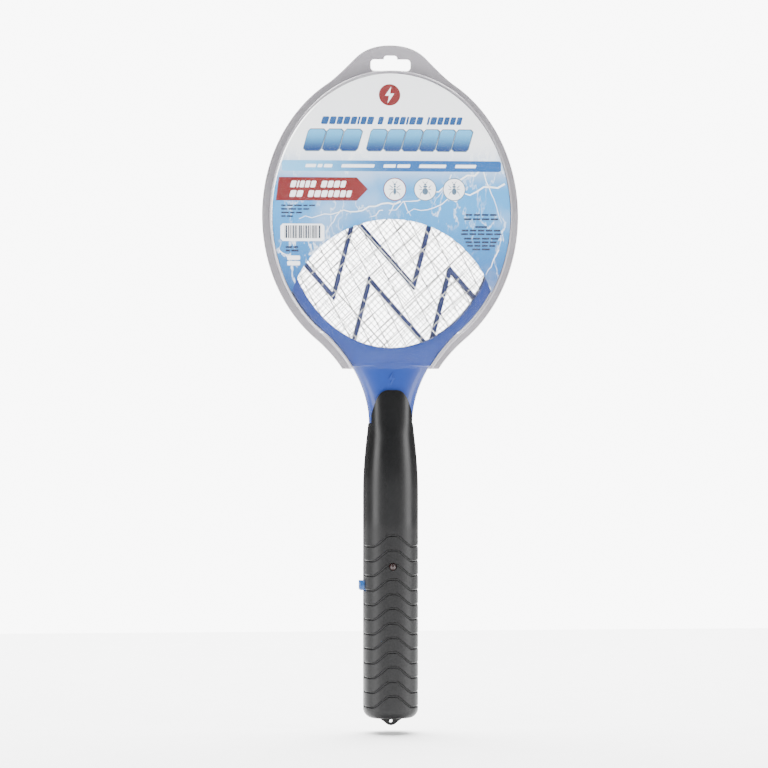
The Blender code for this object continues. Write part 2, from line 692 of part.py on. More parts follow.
def hanging_lug():
    """The small lug under the butt, with a hole for a cord."""
    start = Vector((LUG_HALF_WIDTH, BUTT_Z + 1.2 * MM))
    waist = Vector((LUG_HALF_WIDTH * 0.55, BUTT_Z - 1.2 * MM))
    tip = Vector((LUG_TIP_HALF_WIDTH, BUTT_Z - LUG_DROP * 0.75))
    end = Vector((0.0, BUTT_Z - LUG_DROP))
    edge = [Vector((0.0, start.y)), start] + cubic(start, waist, tip, end, 10)[:-1] + [end]
    right = [edge[0]] + edge[1:]
    left = [Vector((-point.x, point.y)) for point in reversed(right[1:-1])]
    lug = plate("lug", [right + left], -LUG_THICKNESS - SEAM_GAP, -SEAM_GAP)
    hole_z = BUTT_Z - LUG_DROP * 0.42
    return cut(lug, rod("hole", (0, -BIG, hole_z), (0, BIG, hole_z), LUG_HOLE_RADIUS))


def tray_top():
    return BUTT_Z + TRAY_RISE


def door_space(grow):
    """The block that the battery door fills, with its side that faces the cells."""
    return box("door_space", (-BIG, DOOR_Y - grow, BUTT_Z - 10 * MM), (BIG, BIG, tray_top() + DOOR_LIP + grow))


def handle_rear():
    body = handle_shell("handle_rear_shell", 1)
    cut(body, door_space(FIT_GAP))
    foot = BUTT_Z + TRAY_FOOT_RISE
    top = tray_top()
    outer = TRAY_HALF_WIDTH + TRAY_WALL * 0.6
    tray = box("tray", (-outer, TRAY_FLOOR_Y - TRAY_WALL, foot - TRAY_WALL), (outer, DOOR_Y - 2 * FIT_GAP, top))
    ledge = HANDLE_HALF_WIDTH - HANDLE_WALL / 2
    join(tray, box("ledge", (-ledge, HALF_SEAM + 0.1 * MM, foot - TRAY_WALL), (ledge, HALF_SEAM + 1.5 * MM, top)))
    cut(tray, box("room", (-TRAY_HALF_WIDTH, TRAY_FLOOR_Y, foot), (TRAY_HALF_WIDTH, BIG, top - TRAY_WALL)))
    for x in (-CELL_X, CELL_X):
        cut(tray, box("tab_slot", (x - 1.6 * MM, CELL_Y - 4.2 * MM, top - 2 * TRAY_WALL),
                      (x + 1.6 * MM, CELL_Y - 2.8 * MM, top + 1 * MM)))
    join(body, tray)
    return finish(body, "handle_rear_shell", HANDLE_BLACK)


def battery_door():
    body = handle_solid("battery_door")
    cut(body, handle_hollow("hollow"))
    keep(body, door_space(0.0))
    return finish(body, "battery_door", HANDLE_BLACK)


def button():
    z = BUTT_Z + BUTTON_RISE
    outside = -HANDLE_HALF_WIDTH - BUTTON_STAND
    flange = -HANDLE_HALF_WIDTH + HANDLE_WALL + BUTTON_FLANGE_ROOM
    stem = flange + BUTTON_FLANGE + BUTTON_STEM
    body = box("power_button", (outside, -BUTTON_HALF_DEPTH, z - BUTTON_HALF_HEIGHT),
               (stem, BUTTON_HALF_DEPTH, z + BUTTON_HALF_HEIGHT))
    wide = 1.3 * MM
    join(body, box("flange", (flange, -BUTTON_HALF_DEPTH - wide, z - BUTTON_HALF_HEIGHT - wide),
                   (flange + BUTTON_FLANGE, BUTTON_HALF_DEPTH + wide, z + BUTTON_HALF_HEIGHT + wide)))
    return finish(body, "power_button", BUTTON_BLUE), stem


def push_switch(stem_x):
    """The switch on the board and its plunger, in line with the button."""
    z = BUTT_Z + BUTTON_RISE
    y = BOARD_BACK_Y + FIT_GAP + SWITCH_SIZE.y / 2
    face = stem_x + BUTTON_TRAVEL + 2 * FIT_GAP
    body = box("push_switch", (face, y - SWITCH_SIZE.y / 2, z - SWITCH_SIZE.z / 2),
               (face + SWITCH_SIZE.x, y + SWITCH_SIZE.y / 2, z + SWITCH_SIZE.z / 2))
    well = BUTTON_TRAVEL + 2 * FIT_GAP
    start = stem_x + FIT_GAP
    length = BUTTON_TRAVEL + 1.4 * MM
    cut(body, rod("well", (face - 1 * MM, y, z), (start + length + well, y, z), PLUNGER_RADIUS + FIT_GAP))
    finish(body, "push_switch", PART_BLACK)
    plunger = rod("switch_plunger", (start, y, z), (start + length, y, z), PLUNGER_RADIUS)
    finish(plunger, "switch_plunger", BUTTON_BLUE)


def led():
    """A round lamp: dome, body and flange turned in one, with two legs."""
    z = BUTT_Z + LED_RISE
    tip = -HANDLE_HALF_DEPTH - LED_STAND
    profile = [(0.0, tip)]
    profile += [(LED_RADIUS * math.sin(a), tip + LED_RADIUS * (1 - math.cos(a)))
                for a in (math.pi / 2 * i / 5 for i in range(1, 6))]
    root = tip + LED_LENGTH
    flange = LED_RADIUS + 0.5 * MM
    profile += [(LED_RADIUS, root - 1 * MM), (flange, root - 1 * MM), (flange, root), (0.0, root)]
    shape = bmesh.new()
    verts = [shape.verts.new((x, 0.0, -y)) for x, y in profile]
    for upper, lower in zip(verts, verts[1:]):
        shape.edges.new((upper, lower))
    bmesh.ops.spin(shape, geom=shape.verts[:] + shape.edges[:], cent=(0, 0, 0), axis=(0, 0, 1),
                   angle=2 * math.pi, steps=16, use_merge=True)
    bmesh.ops.remove_doubles(shape, verts=shape.verts, dist=1e-6)
    shape.transform(Matrix.Translation((0, 0, z)) @ Matrix.Rotation(math.pi / 2, 4, "X"))
    body = object_of("led_indicator", shape)
    board = BOARD_BACK_Y - BOARD_THICKNESS
    for x in (-1.27 * MM, 1.27 * MM):
        leg = 0.25 * MM
        join(body, box("leg", (x - leg, root - 0.5 * MM, z - leg), (x + leg, board - FIT_GAP, z + leg)))
    finish(body, "led_indicator", LED_RED)


def board_parts():
    """The circuit board and what is soldered on its back."""
    foot = BUTT_Z + BOARD_RISE
    top = foot + BOARD_LENGTH
    near = BOARD_BACK_Y + FIT_GAP
    board = box("circuit_board", (BOARD_LEFT_X, BOARD_BACK_Y - BOARD_THICKNESS, foot),
                (BOARD_RIGHT_X, BOARD_BACK_Y, top))
    finish(board, "circuit_board", BOARD_GREEN)
    z = top - 9 * MM
    coil = box("step_up_transformer", (-7.5 * MM, near + 2.5 * MM, z - 6.5 * MM),
               (7.5 * MM, near + 8.5 * MM, z + 6.5 * MM))
    join(coil, rod("bobbin", (0, near, z), (0, near + 11 * MM, z), 5.2 * MM))
    finish(coil, "step_up_transformer", COIL_AMBER)
    z = top - 21 * MM
    film = box("storage_capacitor", (-7 * MM, near, z - 3 * MM), (7 * MM, near + 10 * MM, z + 3 * MM))
    bevel = film.modifiers.new("round", "BEVEL")
    bevel.width = 1.0 * MM
    bevel.segments = 2
    finish(film, "storage_capacitor", FILM_RED)
    z = BUTT_Z + BUTTON_RISE
    for name, x, low, high, radius, material in (
            ("oscillator_transistor", 9.0 * MM, z + 3 * MM, z + 8 * MM, 2.3 * MM, PART_BLACK),
            ("rectifier_diode_upper", 2.0 * MM, z + 2 * MM, z + 7 * MM, 1.35 * MM, PART_BLACK),
            ("rectifier_diode_lower", 2.0 * MM, z - 6 * MM, z - 1 * MM, 1.35 * MM, PART_BLACK),
            ("bleed_resistor", 6.0 * MM, z - 8 * MM, z - 2 * MM, 1.2 * MM, CELL_SLEEVE)):
        finish(rod(name, (x, near + radius, low), (x, near + radius, high), radius, sides=12), name, material)


def cells():
    """Two round cells side by side, one each way up, with their contacts."""
    low = BUTT_Z + TRAY_FOOT_RISE + CONTACT_THICKNESS + 2 * FIT_GAP
    ceiling = tray_top() - TRAY_WALL - FIT_GAP
    plate_face = ceiling - CONTACT_THICKNESS
    for name, x, spring_above in (("battery_cell_left", -CELL_X, True), ("battery_cell_right", CELL_X, False)):
        start = low + FIT_GAP if spring_above else low + SPRING_ROOM
        nub = 1.0 * MM
        nub_low = start if spring_above else start + CELL_LENGTH - nub
        can_low = start + nub if spring_above else start
        cell = rod(name, (x, CELL_Y, can_low), (x, CELL_Y, can_low + CELL_LENGTH - nub), CELL_RADIUS, sides=24)
        join(cell, rod("nub", (x, CELL_Y, nub_low - 0.1 * MM * (not spring_above)),
                       (x, CELL_Y, nub_low + nub + 0.1 * MM * spring_above), 2.7 * MM))
        finish(cell, name, CELL_SLEEVE)
    half = 4.2 * MM
    for name, x in (("battery_contact_negative", -CELL_X), ("battery_contact_positive", CELL_X)):
        contact = box(name, (x - half, CELL_Y - half, plate_face), (x + half, CELL_Y + half, ceiling))
        tab_y = CELL_Y - half + CONTACT_THICKNESS
        join(contact, box("tab", (x - 1.2 * MM, CELL_Y - half + 0.1 * MM, plate_face + 0.1 * MM),
                          (x + 1.2 * MM, tab_y + 0.2 * MM, tray_top() + 1.5 * MM)))
        finish(contact, name, SPRING_STEEL)
    foot = BUTT_Z + TRAY_FOOT_RISE + FIT_GAP
    link = box("battery_contact_link", (-CELL_X - half, CELL_Y - half, foot),
               (CELL_X + half, CELL_Y + half, foot + CONTACT_THICKNESS))
    finish(link, "battery_contact_link", SPRING_STEEL)
    cell_top = low + FIT_GAP + CELL_LENGTH
    contact_spring("battery_spring_upper", -CELL_X, cell_top + FIT_GAP, plate_face - FIT_GAP)
    link_top = foot + CONTACT_THICKNESS
    contact_spring("battery_spring_lower", CELL_X, link_top + FIT_GAP, low + SPRING_ROOM - FIT_GAP)


def contact_spring(name, x, low, high):
    radius = 3.2 * MM
    wire_radius = 0.3 * MM
    turns = 2.5
    steps = 24
    points = []
    for i in range(steps + 1):
        a = 2 * math.pi * turns * i / steps
        rise = low + wire_radius + (high - low - 2 * wire_radius) * i / steps
        points.append((x + radius * math.cos(a), CELL_Y + radius * math.sin(a), rise))
    finish(wire(name, points, wire_radius, 1), name, SPRING_STEEL, 60.0)


def smooth_route(points, steps=4):
    """Points along a Catmull-Rom curve through the route's own points."""
    ends = [2 * Vector(points[0]) - Vector(points[1])]
    ends += [Vector(point) for point in points]
    ends.append(2 * ends[-1] - ends[-2])
    path = []
    for a, b, c, d in zip(ends, ends[1:], ends[2:], ends[3:]):
        for i in range(steps):
            t = i / steps
            path.append(0.5 * (2 * b + (c - a) * t + (2 * a - 5 * b + 4 * c - d) * t * t
                               + (3 * b - a - 3 * c + d) * t * t * t))
    return path + [ends[-2]]


def leads():
    """The insulated leads from the board to the meshes and to the cells."""
    top = BUTT_Z + BOARD_RISE + BOARD_LENGTH
    foot = BUTT_Z + BOARD_RISE
    mesh_foot = HEAD_Z - OPENING_HALF_HEIGHT - RIM_BAND - TAB_LENGTH
    radius = 0.6 * MM
    side = TANG_HALF_WIDTH - FACE_WALL - 3 * MM
    middle = SHOULDER_Z - MIDDLE_SCREW_DROP
    for name, x, mesh_y, lane_y, material in (
            ("high_voltage_lead", HV_TAB_X, 0.0, 1.0 * MM, WIRE_RED),
            ("front_guard_lead", GUARD_TAB_X, LEAD_TUCK - GUARD_Y, -1.8 * MM, WIRE_BLACK),
            ("rear_guard_lead", GUARD_TAB_X, GUARD_Y - LEAD_TUCK, 1.8 * MM, WIRE_BLACK)):
        lane_x = math.copysign(side, x)
        route = [(x, mesh_y, mesh_foot - FIT_GAP), (x, mesh_y, mesh_foot - 6 * MM),
                 (lane_x, lane_y, SHOULDER_Z), (lane_x, lane_y, SHOULDER_Z - TANG_LENGTH),
                 (lane_x, lane_y, middle), (lane_x, lane_y, top + FIT_GAP)]
        finish(wire(name, smooth_route(route), radius, 1), name, material, 60.0)
    start = tray_top() + 1.5 * MM + FIT_GAP
    for name, x, material in (("battery_lead_negative", -CELL_X, WIRE_BLACK),
                              ("battery_lead_positive", CELL_X, WIRE_RED)):
        tab_y = CELL_Y - 3.85 * MM
        end_y = BOARD_BACK_Y + 1.2 * MM
        route = [(x, tab_y, start + radius), (x, tab_y + 1.5 * MM, (start + foot) / 2), (x, end_y, foot + 1 * MM)]
        finish(wire(name, smooth_route(route), radius, 1), name, material, 60.0)


def pack_outline():
    """The flange's front view: hang tab, oval, flare and mouth."""
    grow = PACK_FLANGE
    top = Vector((0.0, TAB_TOP_Z))
    shoulder = Vector((TAB_HALF, TAB_SHOULDER_Z))
    slope = Vector((TAB_PULL, -TAB_PULL))
    right = [top] + cubic(top, top + Vector((TAB_HALF / 2, 0)), shoulder - slope, shoulder, 9)
    foot_angle = math.acos(TAB_FOOT_X / (OUTER_A + grow))
    foot = Vector((TAB_FOOT_X, HEAD_Z + (OUTER_B + grow) * math.sin(foot_angle)))
    right += cubic(shoulder, shoulder + slope, foot - TAB_FOOT_PULL, foot, 6)
    steps = 22
    for i in range(1, steps):
        a = foot_angle - (foot_angle + FLARE_ANGLE) * i / steps
        right.append(Vector(((OUTER_A + grow) * math.cos(a), HEAD_Z + (OUTER_B + grow) * math.sin(a))))
    right += [point for point in flare(grow, 8) if point.y > PACK_MOUTH_Z + 0.5 * MM]
    right.append(Vector((flare_width(PACK_MOUTH_Z, grow), PACK_MOUTH_Z)))
    return mirrored_loop(right)


def dish(name, side, outer_grow, inner_grow, face_y, root_y):
    """The raised middle of a package shell as a solid, from its face to its root."""
    end = PACK_MOUTH_Z - 6 * MM
    face = [Vector((p.x, side * face_y, p.y)) for p in racket_outline(inner_grow, end, 24)]
    root = [Vector((p.x, side * root_y, p.y)) for p in racket_outline(outer_grow, end, 24)]
    count = min(len(face), len(root))
    return loft(name, [face[:count], root[:count]])


def package_shell(name, side):
    """One clear half of the hanging pack: raised dish, sealing flange and hang tab."""
    low = HALF_SEAM if side > 0 else -HALF_SEAM - PACK_FILM
    body = plate(name, [pack_outline()], low, low + PACK_FILM)
    join(body, dish("crown", side, PACK_SKIRT, PACK_CROWN, PACK_HALF_DEPTH, HALF_SEAM + 0.1 * MM))
    cut(body, dish("room", side, PACK_SKIRT - PACK_FILM, PACK_CROWN - PACK_FILM, PACK_INNER_Y, -1 * MM))
    cut(body, box("mouth", (-BIG, -BIG, PACK_MOUTH_Z - 20 * MM), (BIG, BIG, PACK_MOUTH_Z)))
    for slot in slot_cutters():
        cut(body, slot)
    return finish(body, name, PACK_FILM_CLEAR)


def slot_cutters():
    """The wide slot and its centre bump, whose top bears on the peg."""
    end_x = SLOT_HALF_WIDTH - SLOT_CORNER
    low_z = SLOT_BOTTOM_Z + SLOT_CORNER
    high_z = SLOT_TOP_Z - SLOT_CORNER
    tall = box("slot", (-end_x, -BIG, SLOT_BOTTOM_Z), (end_x, BIG, SLOT_TOP_Z))
    wide = box("slot", (-SLOT_HALF_WIDTH, -BIG, low_z), (SLOT_HALF_WIDTH, BIG, high_z))
    corners = [rod("corner", (x, -BIG, z), (x, BIG, z), SLOT_CORNER)
               for x in (-end_x, end_x) for z in (low_z, high_z)]
    bump = box("bump", (-SLOT_BUMP_HALF, -BIG, low_z), (SLOT_BUMP_HALF, BIG, 0.0))
    return [tall, wide, *corners, bump]


def package_card():
    """The printed card over the upper head, cut to an arc below."""
    body = plate("package_card", [ellipse(OUTER_A + CARD_SIDE_MARGIN, OUTER_B + CARD_TOP_MARGIN)],
                 -CARD_Y - CARD_THICKNESS, -CARD_Y)
    arc_z = HEAD_Z - OUTER_B + CARD_ARC_RISE
    cut(body, rod("arc", (0, -BIG, arc_z), (0, BIG, arc_z), CARD_ARC_RADIUS, sides=96))
    cut(body, box("below", (-BIG, -BIG, -BIG), (BIG, BIG, arc_z)))
    return finish(body, "package_card", CARD_PRINT)


def screws():
    seat = FRAME_HALF_DEPTH - 1.2 * MM + SCREW_CLEARANCE
    for i, (x, z) in enumerate(frame_screw_places()):
        tip = -FRAME_HALF_DEPTH + FACE_WALL + 1.0 * MM
        screw(f"frame_screw_{i + 1}", x, z, seat, tip, FRAME_SCREW_RADIUS, FRAME_SCREW_HEAD, 0.8 * MM)
    names = ("handle_screw_upper", "handle_screw_middle", "handle_screw_lower")
    for name, (z, _) in zip(names, handle_screw_places()):
        screw(name, 0.0, z, HANDLE_SEAT_Y + SCREW_CLEARANCE, -HANDLE_HALF_DEPTH + 5.5 * MM,
              HANDLE_SCREW_RADIUS, HANDLE_SCREW_HEAD, HANDLE_SCREW_HEAD_HEIGHT)


def build():
    frame_half("front_frame", -1)
    frame_half("rear_frame", 1)
    down_right = math.radians(-48)
    up_right = math.radians(45)
    wire_mesh("front_guard_mesh", -GUARD_Y, GUARD_DEPTH, GUARD_PITCH, GUARD_WIRE, (down_right, up_right), GUARD_TAB_X)
    wire_mesh("high_voltage_mesh", 0.0, HV_DEPTH, HV_PITCH, HV_WIRE, (down_right, up_right), HV_TAB_X)
    wire_mesh("rear_guard_mesh", GUARD_Y, GUARD_DEPTH, GUARD_PITCH, GUARD_WIRE, (down_right, up_right), GUARD_TAB_X)
    spacer("front_spacer", -1)
    spacer("rear_spacer", 1)
    screws()
    handle_front()
    handle_rear()
    battery_door()
    _, stem_x = button()
    push_switch(stem_x)
    led()
    board_parts()
    cells()
    leads()
    package_shell("package_front_shell", -1)
    package_card()
    package_shell("package_rear_shell", 1)


build()
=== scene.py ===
import bmesh
import bpy
import json
import math
import random
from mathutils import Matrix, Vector


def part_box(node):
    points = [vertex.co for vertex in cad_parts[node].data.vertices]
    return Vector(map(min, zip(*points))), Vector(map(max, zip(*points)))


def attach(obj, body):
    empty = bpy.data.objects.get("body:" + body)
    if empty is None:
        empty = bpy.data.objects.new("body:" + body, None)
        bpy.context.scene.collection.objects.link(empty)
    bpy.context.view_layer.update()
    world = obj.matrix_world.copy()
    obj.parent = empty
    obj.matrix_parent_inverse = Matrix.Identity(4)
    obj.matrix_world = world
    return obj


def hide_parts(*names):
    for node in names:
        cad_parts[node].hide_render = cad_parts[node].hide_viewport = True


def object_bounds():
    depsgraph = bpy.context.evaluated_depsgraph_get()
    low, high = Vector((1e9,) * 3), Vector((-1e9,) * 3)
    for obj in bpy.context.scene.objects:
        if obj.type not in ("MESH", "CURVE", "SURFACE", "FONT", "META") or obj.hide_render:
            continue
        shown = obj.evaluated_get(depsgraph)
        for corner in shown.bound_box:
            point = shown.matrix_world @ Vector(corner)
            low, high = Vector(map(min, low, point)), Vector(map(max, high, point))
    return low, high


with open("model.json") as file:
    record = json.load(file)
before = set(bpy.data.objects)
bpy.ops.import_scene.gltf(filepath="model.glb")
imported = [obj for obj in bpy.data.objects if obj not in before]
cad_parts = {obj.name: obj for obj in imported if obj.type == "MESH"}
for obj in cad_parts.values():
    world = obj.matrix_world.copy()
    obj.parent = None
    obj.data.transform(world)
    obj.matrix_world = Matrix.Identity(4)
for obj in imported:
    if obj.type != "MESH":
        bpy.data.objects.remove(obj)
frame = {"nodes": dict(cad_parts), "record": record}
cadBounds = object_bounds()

mm = 0.001
nodes = frame["nodes"]

# boxes of the nodes that the pieces are sized from
spacerLow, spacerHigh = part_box("front_spacer")
rearLow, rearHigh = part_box("handle_rear_shell")
doorLow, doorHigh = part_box("battery_door")

head = {
    "z": (spacerLow[2] + spacerHigh[2]) / 2,
    "rimBand": 2.9 * mm,
    "outerA": 79.2 * mm,
    "outerB": 94.5 * mm,
    "halfDepth": 8.0 * mm,
    "faceWall": 1.6 * mm,
    "sideWall": 1.4 * mm,
    "seam": 0.15 * mm,
}
head["innerA"] = spacerHigh[0] - head["rimBand"]
head["innerB"] = (spacerHigh[2] - spacerLow[2]) / 2 - head["rimBand"]
print("frame loaded")


def deselectAll():
    if bpy.context.mode != "OBJECT":
        bpy.ops.object.mode_set(mode="OBJECT")
    bpy.ops.object.select_all(action="DESELECT")


def makeActive(obj):
    deselectAll()
    obj.select_set(True)
    bpy.context.view_layer.objects.active = obj


def applyModifier(obj, modifier):
    makeActive(obj)
    bpy.ops.object.modifier_apply(modifier=modifier.name)


def joinInto(target, pieces):
    deselectAll()
    for piece in pieces:
        piece.select_set(True)
    target.select_set(True)
    bpy.context.view_layer.objects.active = target
    bpy.ops.object.join()


def dissolveFlats(obj, degrees):
    makeActive(obj)
    bpy.ops.object.mode_set(mode="EDIT")
    bpy.ops.mesh.select_all(action="SELECT")
    bpy.ops.mesh.dissolve_limited(angle_limit=math.radians(degrees))
    bpy.ops.object.mode_set(mode="OBJECT")


def applyPlace(obj):
    makeActive(obj)
    bpy.ops.object.transform_apply(location=True, rotation=True, scale=True)


def cleanShell(obj, distance=0.002 * mm):
    makeActive(obj)
    bpy.ops.object.mode_set(mode="EDIT")
    bpy.ops.mesh.select_all(action="SELECT")
    bpy.ops.mesh.remove_doubles(threshold=distance)
    bpy.ops.mesh.normals_make_consistent(inside=False)
    bpy.ops.object.mode_set(mode="OBJECT")


def smooth(obj, angle=32):
    makeActive(obj)
    bpy.ops.object.shade_smooth_by_angle(angle=math.radians(angle))


def boolean(obj, cutter, operation="DIFFERENCE"):
    modifier = obj.modifiers.new("cut", "BOOLEAN")
    modifier.operation = operation
    modifier.object = cutter
    applyModifier(obj, modifier)
    bpy.data.objects.remove(cutter)


def roundEdges(obj, width, segments=2, angle=40):
    modifier = obj.modifiers.new("round", "BEVEL")
    modifier.width = width
    modifier.segments = segments
    modifier.limit_method = "ANGLE"
    modifier.angle_limit = math.radians(angle)
    modifier.use_clamp_overlap = True
    applyModifier(obj, modifier)


def copyOfNode(name, pieceName):
    obj = nodes[name].copy()
    obj.data = nodes[name].data.copy()
    obj.parent = None
    obj.name = pieceName
    for key in list(obj.keys()):
        if key.startswith("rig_"):
            del obj[key]
    bpy.context.scene.collection.objects.link(obj)
    cleanShell(obj)
    return obj


def dressPiece(obj, name, material, body, slot, *stands):
    obj.name = name
    obj.data.name = name
    obj.data.materials.clear()
    obj.data.materials.append(material)
    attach(obj, body)
    if stands:
        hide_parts(*stands)
    return obj


def mirrored(right):
    # a loop from its right half, which starts on the middle
    return right + [Vector((-p.x, p.y)) for p in reversed(right[1:])]


def cubicPoints(start, pullA, pullB, end, count):
    points = []
    for i in range(1, count + 1):
        t = i / count
        s = 1 - t
        points.append(s ** 3 * start + 3 * s * s * t * pullA + 3 * s * t * t * pullB + t ** 3 * end)
    return points


def emptyCurve(dimensions):
    # a curve object with no spline yet
    bpy.ops.curve.primitive_bezier_circle_add(radius=0.01, location=(0, 0, 0))
    obj = bpy.context.object
    obj.data.splines.clear()
    obj.data.dimensions = dimensions
    return obj


def addPath(curve, places):
    spline = curve.splines.new("POLY")
    spline.points.add(len(places) - 1)
    for point, place in zip(spline.points, places):
        point.co = (*place, 1.0)
    return spline


def wireCurve(radius, sides):
    obj = emptyCurve("3D")
    obj.data.bevel_depth = radius
    obj.data.bevel_resolution = sides
    obj.data.use_fill_caps = True
    return obj


def meshOfCurve(obj):
    makeActive(obj)
    bpy.ops.object.convert(target="MESH")
    return bpy.context.object


def outlineCurve(name, loops, halfThickness, edge=0.0, edgeSteps=3):
    # a flat outline in XZ, filled, extruded along Y and rounded at its edges
    obj = emptyCurve("2D")
    obj.name = name
    curve = obj.data
    curve.fill_mode = "BOTH"
    curve.resolution_u = 1
    curve.extrude = halfThickness - edge
    curve.bevel_depth = edge
    curve.bevel_resolution = edgeSteps
    curve.offset = -edge
    for loop in loops:
        addPath(curve, [(place[0], place[1], 0.0) for place in loop]).use_cyclic_u = True
    obj.rotation_euler = (math.pi / 2, 0, 0)
    obj = meshOfCurve(obj)
    applyPlace(obj)
    cleanShell(obj)
    return obj


def shiftY(obj, distance):
    makeActive(obj)
    bpy.ops.object.mode_set(mode="EDIT")
    bpy.ops.mesh.select_all(action="SELECT")
    bpy.ops.transform.translate(value=(0, distance, 0))
    bpy.ops.object.mode_set(mode="OBJECT")


def boxBetween(low, high, name="block"):
    bpy.ops.mesh.primitive_cube_add(size=1)
    obj = bpy.context.object
    obj.name = name
    obj.location = [(a + b) / 2 for a, b in zip(low, high)]
    obj.scale = [b - a for a, b in zip(low, high)]
    applyPlace(obj)
    return obj


def keepSide(obj, side, seam):
    # keeps the front (-1) or the rear (1) of a closed solid
    near, far = sorted((side * seam, side * 0.1))
    boolean(obj, boxBetween((-0.3, near, -0.7), (0.3, far, 0.3)), "INTERSECT")


def loftThrough(name, rings):
    # a cylinder sliced into levels, each level set to its own section
    levels = len(rings) - 1
    bpy.ops.mesh.primitive_cylinder_add(vertices=len(rings[0]), radius=1, depth=1, location=(0, 0, 0))
    obj = bpy.context.object
    obj.name = name
    bpy.ops.object.mode_set(mode="EDIT")
    for level in range(1, levels):
        bpy.ops.mesh.select_all(action="SELECT")
        bpy.ops.mesh.bisect(plane_co=(0, 0, level / levels - 0.5), plane_no=(0, 0, 1))
    mesh = bmesh.from_edit_mesh(obj.data)
    byLevel = {}
    for vert in mesh.verts:
        byLevel.setdefault(round((vert.co.z + 0.5) * levels), []).append(vert)
    for level, verts in byLevel.items():
        verts.sort(key=lambda v: math.atan2(v.co.y, v.co.x) % (2 * math.pi))
        for vert, place in zip(verts, rings[level]):
            vert.co = place
    bmesh.update_edit_mesh(obj.data)
    bpy.ops.object.mode_set(mode="OBJECT")
    cleanShell(obj)
    return obj


def groupShell(name, inputs, outputs):
    tree = bpy.data.node_groups.new(name, "ShaderNodeTree")
    for label, kind, value in inputs:
        socket = tree.interface.new_socket(name=label, in_out="INPUT", socket_type=kind)
        socket.default_value = value
    for label, kind in outputs:
        tree.interface.new_socket(name=label, in_out="OUTPUT", socket_type=kind)
    return tree, tree.nodes.new("NodeGroupInput"), tree.nodes.new("NodeGroupOutput")


def noiseNode(tree, vector, scale, detail=3.0, roughness=0.5):
    noise = tree.nodes.new("ShaderNodeTexNoise")
    noise.inputs["Scale"].default_value = scale
    noise.inputs["Detail"].default_value = detail
    noise.inputs["Roughness"].default_value = roughness
    tree.links.new(vector, noise.inputs["Vector"])
    return noise


def rangeNode(tree, value, low, high, outLow, outHigh, smoothStep=False):
    node = tree.nodes.new("ShaderNodeMapRange")
    if smoothStep:
        node.interpolation_type = "SMOOTHSTEP"
    for label, number in (("From Min", low), ("From Max", high), ("To Min", outLow), ("To Max", outHigh)):
        node.inputs[label].default_value = number
    tree.links.new(value, node.inputs["Value"])
    return node.outputs["Result"]


def mathNode(tree, operation, first, second=None):
    node = tree.nodes.new("ShaderNodeMath")
    node.operation = operation
    for index, value in enumerate((first, second)):
        if value is None:
            continue
        if isinstance(value, (int, float)):
            node.inputs[index].default_value = value
        else:
            tree.links.new(value, node.inputs[index])
    return node.outputs[0]


def mixColour(tree, factor, first, second):
    node = tree.nodes.new("ShaderNodeMix")
    node.data_type = "RGBA"
    if isinstance(factor, (int, float)):
        node.inputs["Factor"].default_value = factor
    else:
        tree.links.new(factor, node.inputs["Factor"])
    for socket, value in ((node.inputs[6], first), (node.inputs[7], second)):
        if isinstance(value, tuple):
            socket.default_value = (*value, 1.0)
        else:
            tree.links.new(value, socket)
    return node.outputs[2]


def buildMouldedSurface():
    # fine moulding texture and faint flow marks, shared by the plastics
    tree, start, end = groupShell("mouldedSurface", [
        ("Vector", "NodeSocketVector", (0, 0, 0)),
        ("Grain Scale", "NodeSocketFloat", 2600.0),
        ("Base Roughness", "NodeSocketFloat", 0.35),
        ("Roughness Spread", "NodeSocketFloat", 0.1),
    ], [("Tone", "NodeSocketFloat"), ("Roughness", "NodeSocketFloat"), ("Height", "NodeSocketFloat")])
    grain = tree.nodes.new("ShaderNodeTexNoise")
    grain.inputs["Detail"].default_value = 4.0
    tree.links.new(start.outputs["Vector"], grain.inputs["Vector"])
    tree.links.new(start.outputs["Grain Scale"], grain.inputs["Scale"])
    flow = noiseNode(tree, start.outputs["Vector"], 38.0, 5.0, 0.6)
    spread = mathNode(tree, "MULTIPLY", mathNode(tree, "SUBTRACT", flow.outputs["Fac"], 0.5),
                      start.outputs["Roughness Spread"])
    rough = mathNode(tree, "ADD", start.outputs["Base Roughness"], spread)
    tone = rangeNode(tree, flow.outputs["Fac"], 0.3, 0.7, 0.0, 1.0)
    tree.links.new(tone, end.inputs["Tone"])
    tree.links.new(rough, end.inputs["Roughness"])
    tree.links.new(grain.outputs["Fac"], end.inputs["Height"])
    return tree


mouldedSurface = buildMouldedSurface()


def newMaterial(name, metallic=0.0, coat=0.0):
    material = bpy.data.materials.new(name)
    material.use_nodes = True
    tree = material.node_tree
    shader = tree.nodes["Principled BSDF"]
    shader.inputs["Metallic"].default_value = metallic
    shader.inputs["Coat Weight"].default_value = coat
    place = tree.nodes.new("ShaderNodeTexCoord")
    return material, tree, shader, place.outputs["Object"]


def bumpFrom(tree, shader, height, strength, distance):
    bump = tree.nodes.new("ShaderNodeBump")
    bump.inputs["Strength"].default_value = strength
    bump.inputs["Distance"].default_value = distance
    tree.links.new(height, bump.inputs["Height"])
    tree.links.new(bump.outputs["Normal"], shader.inputs["Normal"])


